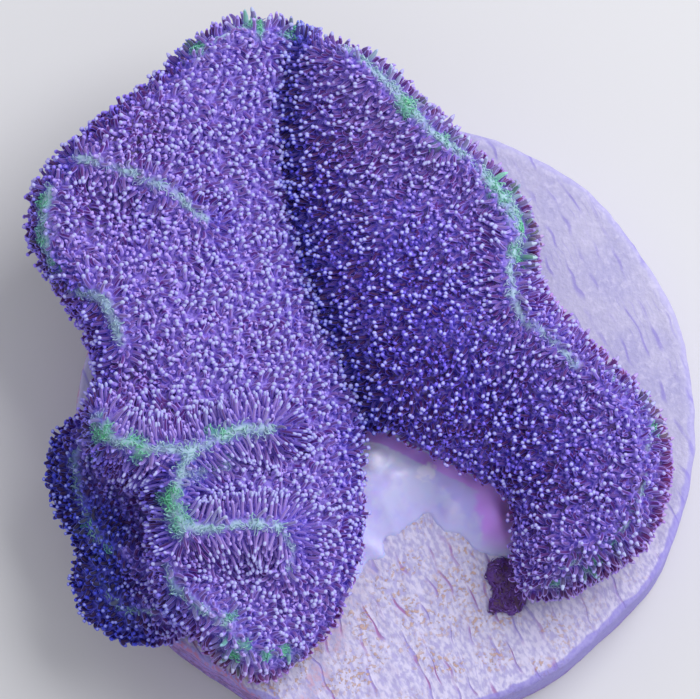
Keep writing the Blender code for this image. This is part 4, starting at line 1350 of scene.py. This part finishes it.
def tentacle_finish():
    finish = Finish("tentacle tissue", Roughness=0.5, Sheen_Weight=0.7, Sheen_Roughness=0.3,
                    Sheen_Tint=TENTACLE_SHEEN, Specular_IOR_Level=0.3)  # fmt: skip
    along = finish.attribute("along")
    luck = finish.attribute("luck")
    upness = finish.attribute("upness")
    ledge = finish.attribute("ledge")
    deep = finish.attribute("deep")

    # The dark core shows along the upward-facing side of the middle stretch, wine red in some; the pale
    # sides round it are painted light, for light let through the clear edges
    wide = finish.sum("MAXIMUM", finish.times(ledge, 0.12), finish.times(deep, 0.14))
    up = finish.step(finish.plus(upness, wide), 0.44, 0.72)
    cored = finish.times(up, finish.step(finish.away(along, 0.44), 0.30, 0.42, 1.0, 0.0))
    again = finish.sum("FRACT", finish.times(luck, 7.0))
    plain = finish.step(finish.sum("SUBTRACT", again, finish.attribute("wine")), -0.05, 0.10)

    # Threads and claws take all of a crest's colour, and fingers a share of it
    margins = PATCH_NAMES.index("margins")
    taken = finish.step(finish.attribute("patch"), margins - 0.6, margins - 0.4, GREEN_ON_FINGERS)
    uneven = finish.step(finish.sum("FRACT", finish.times(luck, 13.0)), 0.0, 0.6, 0.35, 1.0)
    crest = finish.times(finish.step(finish.attribute("crest"), 0.20, 0.60), taken)
    crest = finish.times(crest, uneven)
    crest = finish.times(crest, finish.sum("SUBTRACT", 1.0, finish.times(wide, 4.0)))
    green = finish.times(finish.attribute("green"), taken)

    # the shaded sets below are painted shade, partly a deeper tone, and widen the dark cores
    colours = LIGHT_TISSUE
    for share, others in ((deep, DEEP_SHADED_TISSUE), (finish.attribute("rim"), RIM_PAINTED_BACKLIGHT_TISSUE),
                          (ledge, LEDGE_SHADED_TISSUE), (crest, CREST_TISSUE), (green, GREEN_TISSUE),
                          (finish.attribute("foot"), FOOT_TISSUE)):  # fmt: skip
        colours = [finish.mix(share, colour, other) for colour, other in zip(colours, others)]
    core, sides, base, tip = colours
    bare = finish.step(finish.attribute("unrest"), 0.8, 1.35, COMBED_CORE, PLAIN_CORE)
    core = finish.mix(plain, core, finish.mix(bare, core, sides))
    tip = finish.mix(finish.step(upness, 0.30, 0.80), sides, tip)
    tip = finish.mix(finish.step(along, 0.95, 1.0, 0.0, 0.45), tip, base)
    colour = finish.mix(cored, sides, core)
    colour = finish.mix(finish.step(along, 0.0, 0.35, 0.85, 0.0), colour, base)
    white = finish.step(finish.plus(luck, finish.attribute("pale")), 0.96, 1.02)
    finish.wear(finish.mix(finish.times(white, finish.step(along, 0.70, 0.76)), colour, tip))
    return finish


def make_tentacles():
    stocks = {kind: stock_collection(kind) for kind in TENTACLE_KINDS}
    tree = tentacle_tree(tentacle_finish().material)
    sockets = {s.name: s.identifier for s in tree.interface.items_tree if s.in_out == "INPUT"}
    for name, (kind, spacing, thickness) in PATCHES.items():
        _, wander, comb, shapes = TENTACLE_KINDS[kind]
        carrier = stand("carrier", coral_body.data)
        growth = carrier.modifiers.new("tentacles", "NODES")
        growth.node_group = tree
        inputs = {
            "Patch": PATCH_NAMES.index(name), "Spacing": spacing * MM, "Kinds": len(shapes),
            "Wander": wander, "Comb": comb, "Thickness": thickness, "Seed": PLACE_SEED,
            "Shapes": stocks[kind],
        }  # fmt: skip
        for socket, value in inputs.items():
            growth[sockets[socket]] = value
        evaluated = carrier.evaluated_get(bpy.context.evaluated_depsgraph_get())
        mesh = bpy.data.meshes.new_from_object(evaluated)
        bpy.data.objects.remove(carrier)
        mesh.name = f"tentacles_{name}"
        stands_for(stand(mesh.name, mesh), "coral_colony")
    for stock in stocks.values():
        for thing in list(stock.objects):
            bpy.data.objects.remove(thing)
        bpy.data.collections.remove(stock)


make_tentacles()
